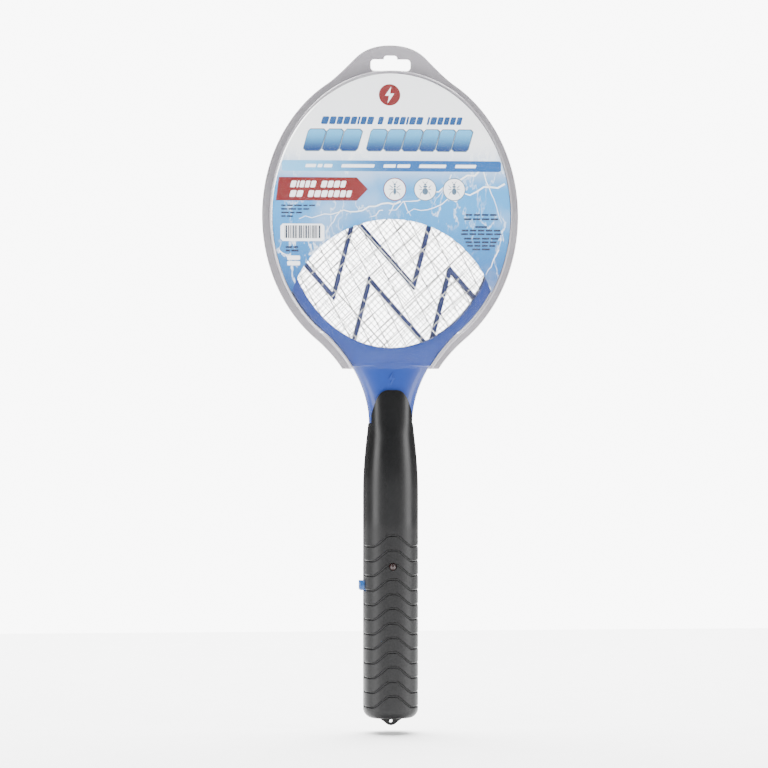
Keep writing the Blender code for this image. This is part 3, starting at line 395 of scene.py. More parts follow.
def plastic(name, dark, light, roughness=0.35, spread=0.1, grain=2600.0, bump=0.12, coat=0.0):
    material, tree, shader, place = newMaterial(name, coat=coat)
    group = tree.nodes.new("ShaderNodeGroup")
    group.node_tree = mouldedSurface
    group.inputs["Grain Scale"].default_value = grain
    group.inputs["Base Roughness"].default_value = roughness
    group.inputs["Roughness Spread"].default_value = spread
    tree.links.new(place, group.inputs["Vector"])
    tree.links.new(mixColour(tree, group.outputs["Tone"], dark, light), shader.inputs["Base Color"])
    tree.links.new(group.outputs["Roughness"], shader.inputs["Roughness"])
    bumpFrom(tree, shader, group.outputs["Height"], bump, 0.1 * mm)
    return material


def metal(name, dark, light, roughness, scale=900.0):
    material, tree, shader, place = newMaterial(name, metallic=1.0)
    noise = noiseNode(tree, place, scale, 4.0)
    tree.links.new(mixColour(tree, noise.outputs["Fac"], dark, light), shader.inputs["Base Color"])
    tree.links.new(rangeNode(tree, noise.outputs["Fac"], 0.3, 0.7, roughness - 0.08, roughness + 0.08),
                   shader.inputs["Roughness"])
    bumpFrom(tree, shader, noise.outputs["Fac"], 0.08, 0.05 * mm)
    return material


def gripPlastic(name, settings):
    # smooth glossy collar above, a fine stipple on the grip below, and a painted highlight: the raised
    # stipple points are painted paler
    material, tree, shader, place = newMaterial(name)
    shader.inputs["Specular IOR Level"].default_value = settings["shine"]
    split = tree.nodes.new("ShaderNodeSeparateXYZ")
    tree.links.new(place, split.inputs[0])
    gripMask = rangeNode(tree, split.outputs["Z"], settings["gripTop"] - 3 * mm, settings["gripTop"] + 3 * mm,
                         1.0, 0.0, True)
    stipple = noiseNode(tree, place, settings["stippleScale"], 2.0)
    flow = noiseNode(tree, place, 45.0, 5.0)
    rough = rangeNode(tree, gripMask, 0.0, 1.0, settings["collarRoughness"], settings["gripRoughness"])
    rough = mathNode(tree, "ADD", rough, rangeNode(tree, flow.outputs["Fac"], 0.3, 0.7, -0.03, 0.04))
    tree.links.new(rough, shader.inputs["Roughness"])
    # painted highlight: the colour turns paler where the stipple noise is high, on the raised stipple points
    shade = mixColour(tree, rangeNode(tree, stipple.outputs["Fac"], 0.45, 0.75, 0.0, 1.0), settings["dark"],
                      settings["light"])
    tree.links.new(shade, shader.inputs["Base Color"])
    height = mathNode(tree, "MULTIPLY", stipple.outputs["Fac"], rangeNode(tree, gripMask, 0, 1, 0.25, 1.0))
    bumpFrom(tree, shader, height, settings["bump"], 0.15 * mm)
    return material


def clearFilm(name, settings):
    # clear over the card; the grey on its sealed flange, its raised wall and its hang tab is painted shade
    # standing in for the film reflecting and refracting darker surroundings
    material, tree, shader, place = newMaterial(name)
    split = tree.nodes.new("ShaderNodeSeparateXYZ")
    tree.links.new(place, split.inputs[0])
    depth = mathNode(tree, "ABSOLUTE", split.outputs["Y"])
    flange = rangeNode(tree, depth, 0.7 * mm, 1.3 * mm, 1.0, 0.0, True)
    across = mathNode(tree, "DIVIDE", split.outputs["X"], settings["ovalA"])
    rise = mathNode(tree, "SUBTRACT", split.outputs["Z"], settings["ovalZ"])
    along = mathNode(tree, "DIVIDE", rise, settings["ovalB"])
    reach = mathNode(tree, "ADD", mathNode(tree, "MULTIPLY", across, across),
                     mathNode(tree, "MULTIPLY", along, along))
    outside = rangeNode(tree, reach, 1.0, 1.012, 0.0, 1.0, True)
    outside = mathNode(tree, "MULTIPLY", outside, rangeNode(tree, split.outputs["Z"], settings["wallLow"],
                                                            settings["wallHigh"], 0.0, 1.0, True))
    ramp = tree.nodes.new("ShaderNodeValToRGB")
    top, foot = settings["wallHigh"], settings["mouth"]
    for z, _ in settings["flare"][1:-1]:
        ramp.color_ramp.elements.new((top - z) / (top - foot))
    # the ramp holds each half width in decimetres, and the next sum brings it back to metres
    for element, (_, width) in zip(ramp.color_ramp.elements, settings["flare"]):
        element.color = (width * 10, width * 10, width * 10, 1)
    tree.links.new(rangeNode(tree, split.outputs["Z"], top, foot, 0.0, 1.0), ramp.inputs[0])
    edge = mathNode(tree, "MULTIPLY", ramp.outputs[0], 0.1)
    beyond = mathNode(tree, "SUBTRACT", mathNode(tree, "ABSOLUTE", split.outputs["X"]), edge)
    beyond = rangeNode(tree, beyond, 0.2 * mm, 0.5 * mm, 0.0, 1.0)
    beyond = mathNode(tree, "MULTIPLY", beyond, rangeNode(tree, split.outputs["Z"], settings["wallLow"],
                                                          settings["wallHigh"], 1.0, 0.0, True))
    # painted shade mask: the sealed flange, the raised wall round the oval and the wall along the flare
    grey = mathNode(tree, "MAXIMUM", flange, mathNode(tree, "MAXIMUM", outside, beyond))
    # painted reflection: the film turns greyer and less clear where it is seen at a slant
    facing = tree.nodes.new("ShaderNodeLayerWeight")
    facing.inputs["Blend"].default_value = 0.3
    slope = rangeNode(tree, facing.outputs["Facing"], 0.3, 0.95, 0.0, settings["edgeAlpha"])
    clouds = noiseNode(tree, place, 22.0, 4.0)
    strength = rangeNode(tree, clouds.outputs["Fac"], 0.3, 0.7, settings["flangeAlpha"] - 0.08,
                         settings["flangeAlpha"] + 0.06)
    alpha = mathNode(tree, "MULTIPLY", grey, strength)
    alpha = mathNode(tree, "ADD", alpha, settings["faceAlpha"])
    alpha = mathNode(tree, "MINIMUM", mathNode(tree, "ADD", alpha, slope), 0.95)
    tree.links.new(alpha, shader.inputs["Alpha"])
    colour = mixColour(tree, grey, settings["faceColour"], settings["paintedShadeColour"])
    tree.links.new(colour, shader.inputs["Base Color"])
    shader.inputs["Roughness"].default_value = settings["roughness"]
    ripple = noiseNode(tree, place, 60.0, 2.0)
    bumpFrom(tree, shader, ripple.outputs["Fac"], 0.05, 0.4 * mm)
    return material


def printed(name, dark, light, roughness=0.45):
    # a flat ink with a faint press grain
    material, tree, shader, place = newMaterial(name, coat=0.15)
    press = noiseNode(tree, place, 3400.0, 2.0)
    tree.links.new(mixColour(tree, press.outputs["Fac"], dark, light), shader.inputs["Base Color"])
    tree.links.new(rangeNode(tree, press.outputs["Fac"], 0.3, 0.7, roughness - 0.05, roughness + 0.05),
                   shader.inputs["Roughness"])
    bumpFrom(tree, shader, press.outputs["Fac"], 0.04, 0.03 * mm)
    return material


def gradientInk(name, low, high, lowColour, highColour, axis="Z"):
    # one ink fading into another between two places
    material, tree, shader, place = newMaterial(name, coat=0.15)
    split = tree.nodes.new("ShaderNodeSeparateXYZ")
    tree.links.new(place, split.inputs[0])
    press = noiseNode(tree, place, 3400.0, 2.0)
    fade = rangeNode(tree, split.outputs[axis], low, high, 0.0, 1.0, True)
    tree.links.new(mixColour(tree, fade, lowColour, highColour), shader.inputs["Base Color"])
    tree.links.new(rangeNode(tree, press.outputs["Fac"], 0.3, 0.7, 0.38, 0.5), shader.inputs["Roughness"])
    return material


def skyPrint(name, settings):
    # white at the top into sky blue, with pale forked streaks and soft cloud
    material, tree, shader, place = newMaterial(name, coat=0.2)
    split = tree.nodes.new("ShaderNodeSeparateXYZ")
    tree.links.new(place, split.inputs[0])
    topFade = rangeNode(tree, split.outputs["Z"], settings["whiteZ"], settings["skyZ"], 0.0, 1.0, True)
    lowFade = rangeNode(tree, split.outputs["Z"], settings["skyZ"], settings["deepZ"], 0.0, 1.0, True)
    colour = mixColour(tree, topFade, settings["white"], settings["sky"])
    colour = mixColour(tree, lowFade, colour, settings["deep"])
    mapping = tree.nodes.new("ShaderNodeMapping")
    mapping.inputs["Scale"].default_value = (1.0, 0.0, 0.42)
    mapping.inputs["Rotation"].default_value = (0, 0.35, 0)
    tree.links.new(place, mapping.inputs["Vector"])
    crook = noiseNode(tree, mapping.outputs[0], 60.0, 6.0, 0.62)
    bolt = mathNode(tree, "ABSOLUTE", mathNode(tree, "SUBTRACT", crook.outputs["Fac"], 0.5))
    streak = rangeNode(tree, bolt, 0.0, 0.022, 1.0, 0.0, True)
    patch = noiseNode(tree, place, 26.0, 2.0)
    streak = mathNode(tree, "MULTIPLY", streak, rangeNode(tree, patch.outputs["Fac"], 0.42, 0.6, 0.0, 0.75))
    colour = mixColour(tree, streak, colour, settings["streak"])
    cloud = noiseNode(tree, place, 16.0, 4.0)
    haze = rangeNode(tree, cloud.outputs["Fac"], 0.5, 0.75, 0.0, 0.35)
    colour = mixColour(tree, haze, colour, settings["white"])
    tree.links.new(colour, shader.inputs["Base Color"])
    shader.inputs["Roughness"].default_value = 0.4
    bumpFrom(tree, shader, patch.outputs["Fac"], 0.03, 0.2 * mm)
    return material


frameBlue = plastic("frameBlue", (0.0005, 0.021, 0.165), (0.001, 0.027, 0.19), 0.45, 0.08, 1800.0, 0.08, 0.15)
ribBlue = plastic("ribBlue", (0.0004, 0.006, 0.055), (0.0008, 0.009, 0.07), 0.5, 0.1, 2400.0, 0.12)
buttonBlue = plastic("buttonBlue", (0.0, 0.055, 0.22), (0.0, 0.07, 0.26), 0.35, 0.08, 2600.0, 0.1, 0.2)
moulded = plastic("componentBlack", (0.012, 0.012, 0.012), (0.03, 0.03, 0.03), 0.5)
boardGreen = plastic("boardGreen", (0.01, 0.11, 0.03), (0.02, 0.17, 0.05), 0.35, 0.15, 900.0)
filmRed = plastic("capacitorFilm", (0.22, 0.04, 0.015), (0.34, 0.08, 0.02), 0.3)
tapeAmber = plastic("transformerTape", (0.5, 0.27, 0.03), (0.66, 0.4, 0.08), 0.35)
resistorBeige = plastic("resistorBeige", (0.5, 0.38, 0.2), (0.6, 0.48, 0.28), 0.45)
leadRed = plastic("leadRed", (0.38, 0.015, 0.015), (0.5, 0.03, 0.03), 0.45)
leadBlack = plastic("leadBlack", (0.008, 0.008, 0.008), (0.02, 0.02, 0.02), 0.45)
cellSleeve = plastic("cellSleeve", (0.06, 0.065, 0.08), (0.1, 0.11, 0.13), 0.28, 0.05, 1200.0, 0.05, 0.3)
meshWire = metal("meshWire", (0.7, 0.7, 0.68), (0.92, 0.92, 0.9), 0.28)
hvWire = metal("fineMeshWire", (0.07, 0.062, 0.055), (0.16, 0.145, 0.13), 0.45)
# painted shade: the rear guard is the same wire as the front guard, drawn far darker because that net lies in
# shadow behind the front nets
rearWireShaded = metal("rearMeshWireShaded", (0.03, 0.022, 0.017), (0.07, 0.055, 0.045), 0.5)
screwSteel = metal("screwSteel", (0.4, 0.4, 0.42), (0.62, 0.62, 0.63), 0.3)
contactSteel = metal("contactSteel", (0.62, 0.6, 0.55), (0.8, 0.78, 0.73), 0.28)
ledRed = plastic("ledRed", (0.006, 0.0004, 0.0004), (0.01, 0.0006, 0.0006), 0.4, 0.02, 400.0, 0.02)
print("materials made")


neck = {
    "shoulderZ": rearHigh[2] - 22.4 * mm,
    "halfWidth": 14.5 * mm,
    "halfDepth": 11.0 * mm,
    "loftTop": 93.0 * mm,
    "plateEnd": 101.0 * mm,
    "flareAngle": math.radians(54),
    "pullHead": 22.0 * mm,
    "pullNeck": 24.0 * mm,
    "steps": 14,
    "sides": 64,
    "markHeight": 9.0 * mm,
    "markRise": 30 * mm,
    "markSink": 0.85 * mm,
    "recessRadius": 1.5 * mm,
    "recessDepth": 4 * mm,
    "recessY": 8.8 * mm,
}


def flareEdge(grow, count):
    halfA = head["outerA"] + grow
    halfB = head["outerB"] + grow
    a = neck["flareAngle"]
    start = Vector((halfA * math.cos(a), head["z"] - halfB * math.sin(a)))
    slope = Vector((-halfA * math.sin(a), -halfB * math.cos(a))).normalized()
    end = Vector((neck["halfWidth"] + grow, neck["shoulderZ"] + 0.3 * mm))
    pullA = start + slope * neck["pullHead"]
    pullB = end + Vector((0, neck["pullNeck"]))
    return [start] + cubicPoints(start, pullA, pullB, end, count)


def flareWidth(z, grow=0.0):
    edge = flareEdge(grow, 60)
    for upper, lower in zip(edge, edge[1:]):
        if upper.y >= z >= lower.y:
            share = (upper.y - z) / (upper.y - lower.y)
            return upper.x + share * (lower.x - upper.x)
    return edge[-1].x


def headPoint(a, grow):
    return Vector(((head["outerA"] + grow) * math.cos(a), head["z"] + (head["outerB"] + grow) * math.sin(a)))


def racketLoop(grow, bottomZ, steps=110):
    right = []
    for i in range(steps):
        a = math.pi / 2 - (math.pi / 2 + neck["flareAngle"]) * i / steps
        right.append(headPoint(a, grow))
    right += [p for p in flareEdge(grow, 30) if p.y > bottomZ + 0.3 * mm]
    right.append(Vector((flareWidth(bottomZ, grow), bottomZ)))
    return mirrored(right)


def ovalLoop(halfA, halfB, steps=160):
    turns = [2 * math.pi * i / steps for i in range(steps)]
    return [(halfA * math.cos(a), head["z"] + halfB * math.sin(a)) for a in turns]


def sectionRing(z, halfWidth, halfDepth, power, sides):
    ring = []
    for i in range(sides):
        a = 2 * math.pi * (i + 0.5) / sides
        x = math.copysign(abs(math.cos(a)) ** (2 / power), math.cos(a))
        y = math.copysign(abs(math.sin(a)) ** (2 / power), math.sin(a))
        ring.append(Vector((halfWidth * x, halfDepth * y, z)))
    return ring


def neckDepth(z):
    top = head["z"] - neck["loftTop"]
    share = min(1.0, max(0.0, (top - z) / (top - neck["shoulderZ"])))
    return head["halfDepth"] + (neck["halfDepth"] - head["halfDepth"]) * share * share * (3 - 2 * share)


def neckLoft(grow, bottomZ):
    top = head["z"] - neck["loftTop"]
    plateEnd = head["z"] - neck["plateEnd"]
    heights = [top] + [plateEnd + (bottomZ - plateEnd) * i / neck["steps"] for i in range(neck["steps"] + 1)]
    rings = []
    for i, z in enumerate(heights):
        tuck = (1.0 * mm, 0.1 * mm)[i] if i < 2 else 0.06 * mm
        depth = neckDepth(z) + grow - (0.3 * mm if i == 0 else 0.06 * mm)
        rings.append(sectionRing(z, flareWidth(z) + grow - tuck, depth, 3.2, neck["sides"]))
    return loftThrough("neck", rings)


# a bolt sign one unit tall, raised on the neck and printed in the badge
boltShape = [(0.1, 0.5), (-0.28, -0.05), (-0.03, -0.05), (-0.12, -0.5), (0.28, 0.08), (0.02, 0.08)]


def boltMark():
    tall = neck["markHeight"]
    centre = neck["shoulderZ"] + neck["markRise"]
    loop = [(x * tall, centre + z * tall) for x, z in boltShape]
    return outlineCurve("bolt", [loop], 1.2 * mm, 0.1 * mm, 1)


def frameHalf(side):
    plateEnd = head["z"] - neck["plateEnd"]
    opening = ovalLoop(head["innerA"], head["innerB"])
    loops = [racketLoop(-0.05 * mm, plateEnd), opening]
    body = outlineCurve("frame", loops, head["halfDepth"] - 0.02 * mm, 1.1 * mm, 4)
    boolean(body, neckLoft(0.0, neck["shoulderZ"] + 0.3 * mm), "UNION")
    inner = head["halfDepth"] - head["faceWall"]
    boolean(body, outlineCurve("pocket", [racketLoop(-head["sideWall"], plateEnd + 2.8 * mm, 60)], inner))
    boolean(body, neckLoft(-head["faceWall"], neck["shoulderZ"] + 2.4 * mm))
    keepSide(body, side, head["seam"])
    if side < 0:
        mark = boltMark()
        shiftY(mark, -(neckDepth(neck["shoulderZ"] + neck["markRise"]) - neck["markSink"]))
        boolean(body, mark, "UNION")
    else:
        for index in range(1, 7):
            low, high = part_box(f"frame_screw_{index}")
            x, z = (low[0] + high[0]) / 2, (low[2] + high[2]) / 2
            bpy.ops.mesh.primitive_cylinder_add(vertices=32, radius=neck["recessRadius"],
                                                depth=neck["recessDepth"], location=(x, neck["recessY"], z),
                                                rotation=(math.pi / 2, 0, 0))
            recess = bpy.context.object
            applyPlace(recess)
            boolean(body, recess)
    smooth(body, 35)
    return body


frontFrame = frameHalf(-1)
dressPiece(frontFrame, "frontFrameMoulding", frameBlue, "swatter", "frame_blue", "front_frame")
rearFrame = frameHalf(1)
dressPiece(rearFrame, "rearFrameMoulding", frameBlue, "swatter", "frame_blue", "rear_frame")
print("frame halves made")


weave = {
    "guardPitch": 10.3 * mm,
    "guardRadius": 0.32 * mm,
    "guardY": 5.7 * mm,
    "finePitch": 3.2 * mm,
    "fineRadius": 0.24 * mm,
    "guardHalf": 0.39 * mm,
    "fineHalf": 0.49 * mm,
    "downSlope": math.radians(-48),
    "upSlope": math.radians(45),
    "rearDownSlope": math.radians(-62),
    "rearUpSlope": math.radians(42),
    "highTabX": 4.5 * mm,
    "guardTabX": -6.0 * mm,
    "tabHalf": 1.6 * mm,
    "tabRise": 6 * mm,
    "lift": 0.95,
}


def wovenWires(name, y, pitch, radius, slopes, sides):
    # each wire passes over and under the wires that cross it
    a = head["innerA"] + 1.4 * mm
    b = head["innerB"] + 1.4 * mm
    obj = wireCurve(radius, sides)
    for layer, slope in enumerate(slopes):
        along = Vector((math.cos(slope), math.sin(slope)))
        across = Vector((-along.y, along.x))
        reach = math.hypot(a * across.x, b * across.y)
        count = int((reach - pitch / 4) / pitch)
        other = Vector((math.cos(slopes[1 - layer]), math.sin(slopes[1 - layer])))
        otherAcross = Vector((-other.y, other.x))
        for i in range(-count, count + 1):
            base = across * (i * pitch)
            p = (along.x / a) ** 2 + (along.y / b) ** 2
            q = base.x * along.x / a ** 2 + base.y * along.y / b ** 2
            r = (base.x / a) ** 2 + (base.y / b) ** 2 - 1
            root = math.sqrt(q * q - p * r)
            first, last = (-q - root) / p, (-q + root) / p
            # the crossings lie where the other set's lines meet this one
            offset = base.dot(otherAcross)
            rate = along.dot(otherAcross)
            marks = []
            for j in range(-400, 401):
                t = (j * pitch - offset) / rate
                if first < t < last:
                    marks.append((t, j))
            marks.sort()
            points = [(first, 0.0)]
            for t, j in marks:
                side = 1 if (i + j + layer) % 2 else -1
                points.append((t, side * radius * weave["lift"]))
            points.append((last, 0.0))
            places = []
            for t, lift in points:
                place = base + along * t
                places.append((place.x, y + lift, head["z"] + place.y))
            addPath(obj.data, places)
    obj = meshOfCurve(obj)
    obj.name = name
    smooth(obj, 60)
    return obj


def rimRing(y, half):
    loops = [ovalLoop(head["innerA"] + grow, head["innerB"] + grow, 120)
             for grow in (head["rimBand"], 0.1 * mm)]
    ring = outlineCurve("rim", loops, half, 0.15 * mm, 1)
    shiftY(ring, y)
    return ring


def meshScreen(name, y, half, pitch, radius, slopes, sides, material, node):
    wires = wovenWires(name, y, pitch, radius, slopes, sides)
    ring = rimRing(y, half)
    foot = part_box(node)[0][2]
    x = weave["highTabX"] if node == "high_voltage_mesh" else weave["guardTabX"]
    wide, thick = weave["tabHalf"], half * 0.8
    tab = boxBetween((x - wide, y - thick, foot), (x + wide, y + thick, foot + weave["tabRise"]))
    joinInto(wires, (ring, tab))
    return dressPiece(wires, name, material, "swatter", "mesh_wire", node)


slopes = (weave["downSlope"], weave["upSlope"])
rearSlopes = (weave["rearDownSlope"], weave["rearUpSlope"])
meshScreen("frontGuardWires", -weave["guardY"], weave["guardHalf"], weave["guardPitch"], weave["guardRadius"],
           slopes, 1, meshWire, "front_guard_mesh")
meshScreen("highVoltageWires", 0.0, weave["fineHalf"], weave["finePitch"], weave["fineRadius"],
           slopes, 0, hvWire, "high_voltage_mesh")
meshScreen("rearGuardWires", weave["guardY"], weave["guardHalf"], weave["guardPitch"], weave["guardRadius"],
           rearSlopes, 1, rearWireShaded, "rear_guard_mesh")
print("wire meshes woven")

for name, piece in (("front_spacer", "frontRibs"), ("rear_spacer", "rearRibs")):
    ribs = copyOfNode(name, piece)
    dissolveFlats(ribs, 0.5)
    roundEdges(ribs, 0.2 * mm, 2, 50)
    smooth(ribs, 35)
    dressPiece(ribs, piece, ribBlue, "swatter", "rib_blue", name)
print("ribs rounded")


handle = {
    "halfWidth": 18.4 * mm,
    "halfDepth": 16.5 * mm,
    "topHalfWidth": 14.9 * mm,
    "topHalfDepth": 13.6 * mm,
    "swell": 45.3 * mm,
    "wall": 1.8 * mm,
    "curve": 2.6,
    "sides": 96,
    "buttZ": rearLow[2],
    "buttRound": 6.4 * mm,
    "tongueRise": 22.4 * mm,
    "tongueDepth": 11.8 * mm,
    "grooves": 12,
    "firstGroove": 122.5 * mm,
    "lastGroove": 15.5 * mm,
    "grooveFlat": 2.6 * mm,
    "grooveDrop": 7.4 * mm,
    "grooveReach": 12.4 * mm,
    "grooveRadius": 0.85 * mm,
    "tangHalf": 11.8 * mm,
    "tangHalfDepth": 7.3 * mm,
    "tangLength": 20.3 * mm,
    "buttonLip": 1.0 * mm,
    "doorGap": 0.3 * mm,
    "screwHole": 2.3 * mm,
    "lampHole": 2.65 * mm,
}

grip = {
    "gripTop": handle["buttZ"] + 129 * mm,
    "stippleScale": 1500.0,
    "collarRoughness": 0.36,
    "gripRoughness": 0.44,
    "dark": (0.0012, 0.0012, 0.0015),
    # the light tone is a painted highlight on the raised stipple points
    "light": (0.0035, 0.0035, 0.004),
    "shine": 0.32,
    "bump": 0.25,
}
handleBlack = gripPlastic("handleBlack", grip)


def handleSection(z):
    # half width, half depth and squareness at a height
    drop = neck["shoulderZ"] - z
    rise = z - handle["buttZ"]
    if drop <= 0:
        share = min(1.0, -drop / handle["tongueRise"])
        depth = handle["topHalfDepth"] + (handle["tongueDepth"] - handle["topHalfDepth"]) * share
        return handle["topHalfWidth"] + 0.3 * mm * share, depth, 3.2
    bend = math.sin(min(1.0, drop / handle["swell"]) * math.pi / 2)
    width = handle["topHalfWidth"] + (handle["halfWidth"] - handle["topHalfWidth"]) * bend
    depth = handle["topHalfDepth"] + (handle["halfDepth"] - handle["topHalfDepth"]) * bend
    power = handle["curve"] + 0.6 * max(0.0, 1 - drop / (6 * mm))
    if rise < handle["buttRound"]:
        share = min(1.0, 1 - rise / handle["buttRound"])
        shrink = handle["buttRound"] * (1 - math.sqrt(max(0.0, 1 - share * share))) * 0.9
        width -= shrink * 1.1
        depth -= shrink
    return width, depth, power


def handleHeights():
    top = neck["shoulderZ"] + handle["tongueRise"] + 0.9 * mm
    heights = [top, neck["shoulderZ"] + 12 * mm, neck["shoulderZ"] + 0.01 * mm, neck["shoulderZ"] - 1 * mm]
    heights += [neck["shoulderZ"] - handle["swell"] * i / 12 for i in range(1, 13)]
    gripTop = neck["shoulderZ"] - handle["swell"]
    gripLow = handle["buttZ"] + handle["buttRound"]
    heights += [gripTop + (gripLow - gripTop) * i / 26 for i in range(1, 27)]
    heights += [handle["buttZ"] + handle["buttRound"] * (1 - math.sin(i * math.pi / 20))
                for i in range(1, 11)]
    return heights


def handleLoft(shrink=0.0, name="handle"):
    rings = []
    for z in handleHeights():
        width, depth, power = handleSection(z)
        width, depth = width - 0.03 * mm - shrink, depth - 0.03 * mm - shrink
        rings.append(sectionRing(z, width, depth, power, handle["sides"]))
    return loftThrough(name, rings)


def archLoop():
    right = [Vector((0, neck["shoulderZ"] + handle["tongueRise"]))]
    for i in range(1, 25):
        share = (i / 24) ** 2.5
        right.append(Vector((handle["topHalfWidth"] * share ** 0.28,
                             neck["shoulderZ"] + handle["tongueRise"] * (1 - share))))
    right.append(Vector((2 * handle["halfWidth"], neck["shoulderZ"])))
    right.append(Vector((2 * handle["halfWidth"], handle["buttZ"] - 1 * mm)))
    return mirrored(right)


def surfaceDepth(x, z):
    width, depth, power = handleSection(z)
    share = min(1.0, abs(x) / width)
    return depth * (1 - share ** power) ** (1 / power)


def groovePath(peakZ, side):
    # from the middle: a short flat, a slope down each arm, then level round to the seam
    flat, drop, reach = handle["grooveFlat"], handle["grooveDrop"], handle["grooveReach"]
    half = []
    for i in range(29):
        x = handle["halfWidth"] * math.sin(math.pi / 2 * i / 28)
        share = min(1.0, max(0.0, (x - flat) / (reach - flat)))
        fall = drop * (0.7 * share + 0.3 * share * share * (3 - 2 * share))
        z = peakZ - fall
        half.append((x, side * surfaceDepth(x, z), z))
    half[-1] = (half[-1][0] + 0.2 * mm, 0.0, half[-1][2])
    half.append((half[-1][0], -side * 0.6 * mm, half[-1][2]))
    return [(-x, y, z) for x, y, z in reversed(half[1:])] + half


def grooveCutter(side):
    obj = wireCurve(handle["grooveRadius"], 2)
    first = handle["buttZ"] + handle["firstGroove"]
    last = handle["buttZ"] + handle["lastGroove"]
    for i in range(handle["grooves"]):
        addPath(obj.data, groovePath(first + (last - first) * i / (handle["grooves"] - 1), side))
    obj = meshOfCurve(obj)
    cleanShell(obj)
    return obj


def roundHole(place, radius, depth):
    bpy.ops.mesh.primitive_cylinder_add(vertices=48, radius=radius, depth=depth, location=place,
                                        rotation=(math.pi / 2, 0, 0))
    obj = bpy.context.object
    applyPlace(obj)
    return obj


buttonLow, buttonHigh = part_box("power_button")
ledLow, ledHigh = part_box("led_indicator")
doorTop = doorHigh[2]
doorFace = doorLow[1]


def makeHandle(side):
    body = handleLoft()
    boolean(body, outlineCurve("arch", [archLoop()], 40 * mm), "INTERSECT")
    hollow = handleLoft(handle["wall"], "hollow")
    makeActive(hollow)
    bpy.ops.object.mode_set(mode="EDIT")
    bpy.ops.mesh.select_all(action="SELECT")
    bpy.ops.mesh.bisect(plane_co=(0, 0, neck["shoulderZ"] - 4 * mm), plane_no=(0, 0, 1), use_fill=True,
                        clear_outer=True)
    bpy.ops.mesh.select_all(action="SELECT")
    bpy.ops.mesh.bisect(plane_co=(0, 0, handle["buttZ"] + handle["wall"]), plane_no=(0, 0, -1), use_fill=True,
                        clear_outer=True)
    bpy.ops.object.mode_set(mode="OBJECT")
    boolean(body, hollow)
    boolean(body, neckLoft(0.3 * mm, neck["shoulderZ"]))
    tang, thick = handle["tangHalf"], handle["tangHalfDepth"]
    boolean(body, boxBetween((-tang, -thick, neck["shoulderZ"] - handle["tangLength"]),
                             (tang, thick, neck["shoulderZ"] + 1 * mm)))
    throat = neck["halfDepth"] * 0.75
    boolean(body, boxBetween((-0.1, -throat, neck["shoulderZ"]), (0.1, throat, 0.1)))
    keepSide(body, side, head["seam"])
    boolean(body, grooveCutter(side))
    lip = handle["buttonLip"]
    boolean(body, boxBetween((-0.1, buttonLow[1] + lip, buttonLow[2] + lip),
                             (-handle["halfWidth"] * 0.6, buttonHigh[1] - lip, buttonHigh[2] - lip)))
    return body


def handleLug():
    z = handle["buttZ"]
    half = [(9.4, 1.2), (8.6, 0.2), (7.1, -0.9), (5.4, -2.0),
            (4.0, -3.2), (2.7, -4.2), (1.5, -4.8), (0.0, -5.08)]
    right = [Vector((x * mm, z + y * mm)) for x, y in half]
    loop = right + [Vector((-p.x, p.y)) for p in reversed(right[:-1])]
    lug = outlineCurve("lug", [loop], 1.5 * mm, 0.35 * mm, 2)
    shiftY(lug, -1.8 * mm)
    boolean(lug, roundHole((0, 0, z - 2.14 * mm), 1.1 * mm, 20 * mm))
    return lug


frontShell = makeHandle(-1)
ledPlace = (0, -handle["halfDepth"], (ledLow[2] + ledHigh[2]) / 2)
boolean(frontShell, roundHole(ledPlace, handle["lampHole"], 12 * mm))
joinInto(frontShell, [handleLug()])
smooth(frontShell, 32)
dressPiece(frontShell, "handleFront", handleBlack, "swatter", "handle_black", "handle_front_shell")

rearShell = makeHandle(1)
doorShell = rearShell.copy()
doorShell.data = rearShell.data.copy()
bpy.context.scene.collection.objects.link(doorShell)
boolean(rearShell, boxBetween((-0.1, doorFace - handle["doorGap"], -1.0),
                              (0.1, 0.1, doorTop + handle["doorGap"])))
for label in ("upper", "middle", "lower"):
    low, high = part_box(f"handle_screw_{label}")
    z = (low[2] + high[2]) / 2
    boolean(rearShell, roundHole((0, 14 * mm, z), handle["screwHole"], 12 * mm))
smooth(rearShell, 32)
dressPiece(rearShell, "handleRear", handleBlack, "swatter", "handle_black")
boolean(doorShell, boxBetween((-0.1, doorFace, -1.0), (0.1, 0.1, doorTop)), "INTERSECT")
smooth(doorShell, 32)
dressPiece(doorShell, "batteryDoorCover", handleBlack, "battery_door", "handle_black", "battery_door")
print("handle made")

buttonCap = copyOfNode("power_button", "buttonCap")
dissolveFlats(buttonCap, 1)
roundEdges(buttonCap, 0.7 * mm, 4, 50)
smooth(buttonCap, 35)
dressPiece(buttonCap, "buttonCap", buttonBlue, "power_button", "button_blue", "power_button")


lamp = {
    "radius": 2.35 * mm,
    "barrel": 4.6 * mm,
    "rim": 1.0 * mm,
    "rimGrow": 1.2,
    "legX": 1.27 * mm,
    "legHalf": 0.25 * mm,
    "legStart": 5.4 * mm,
}


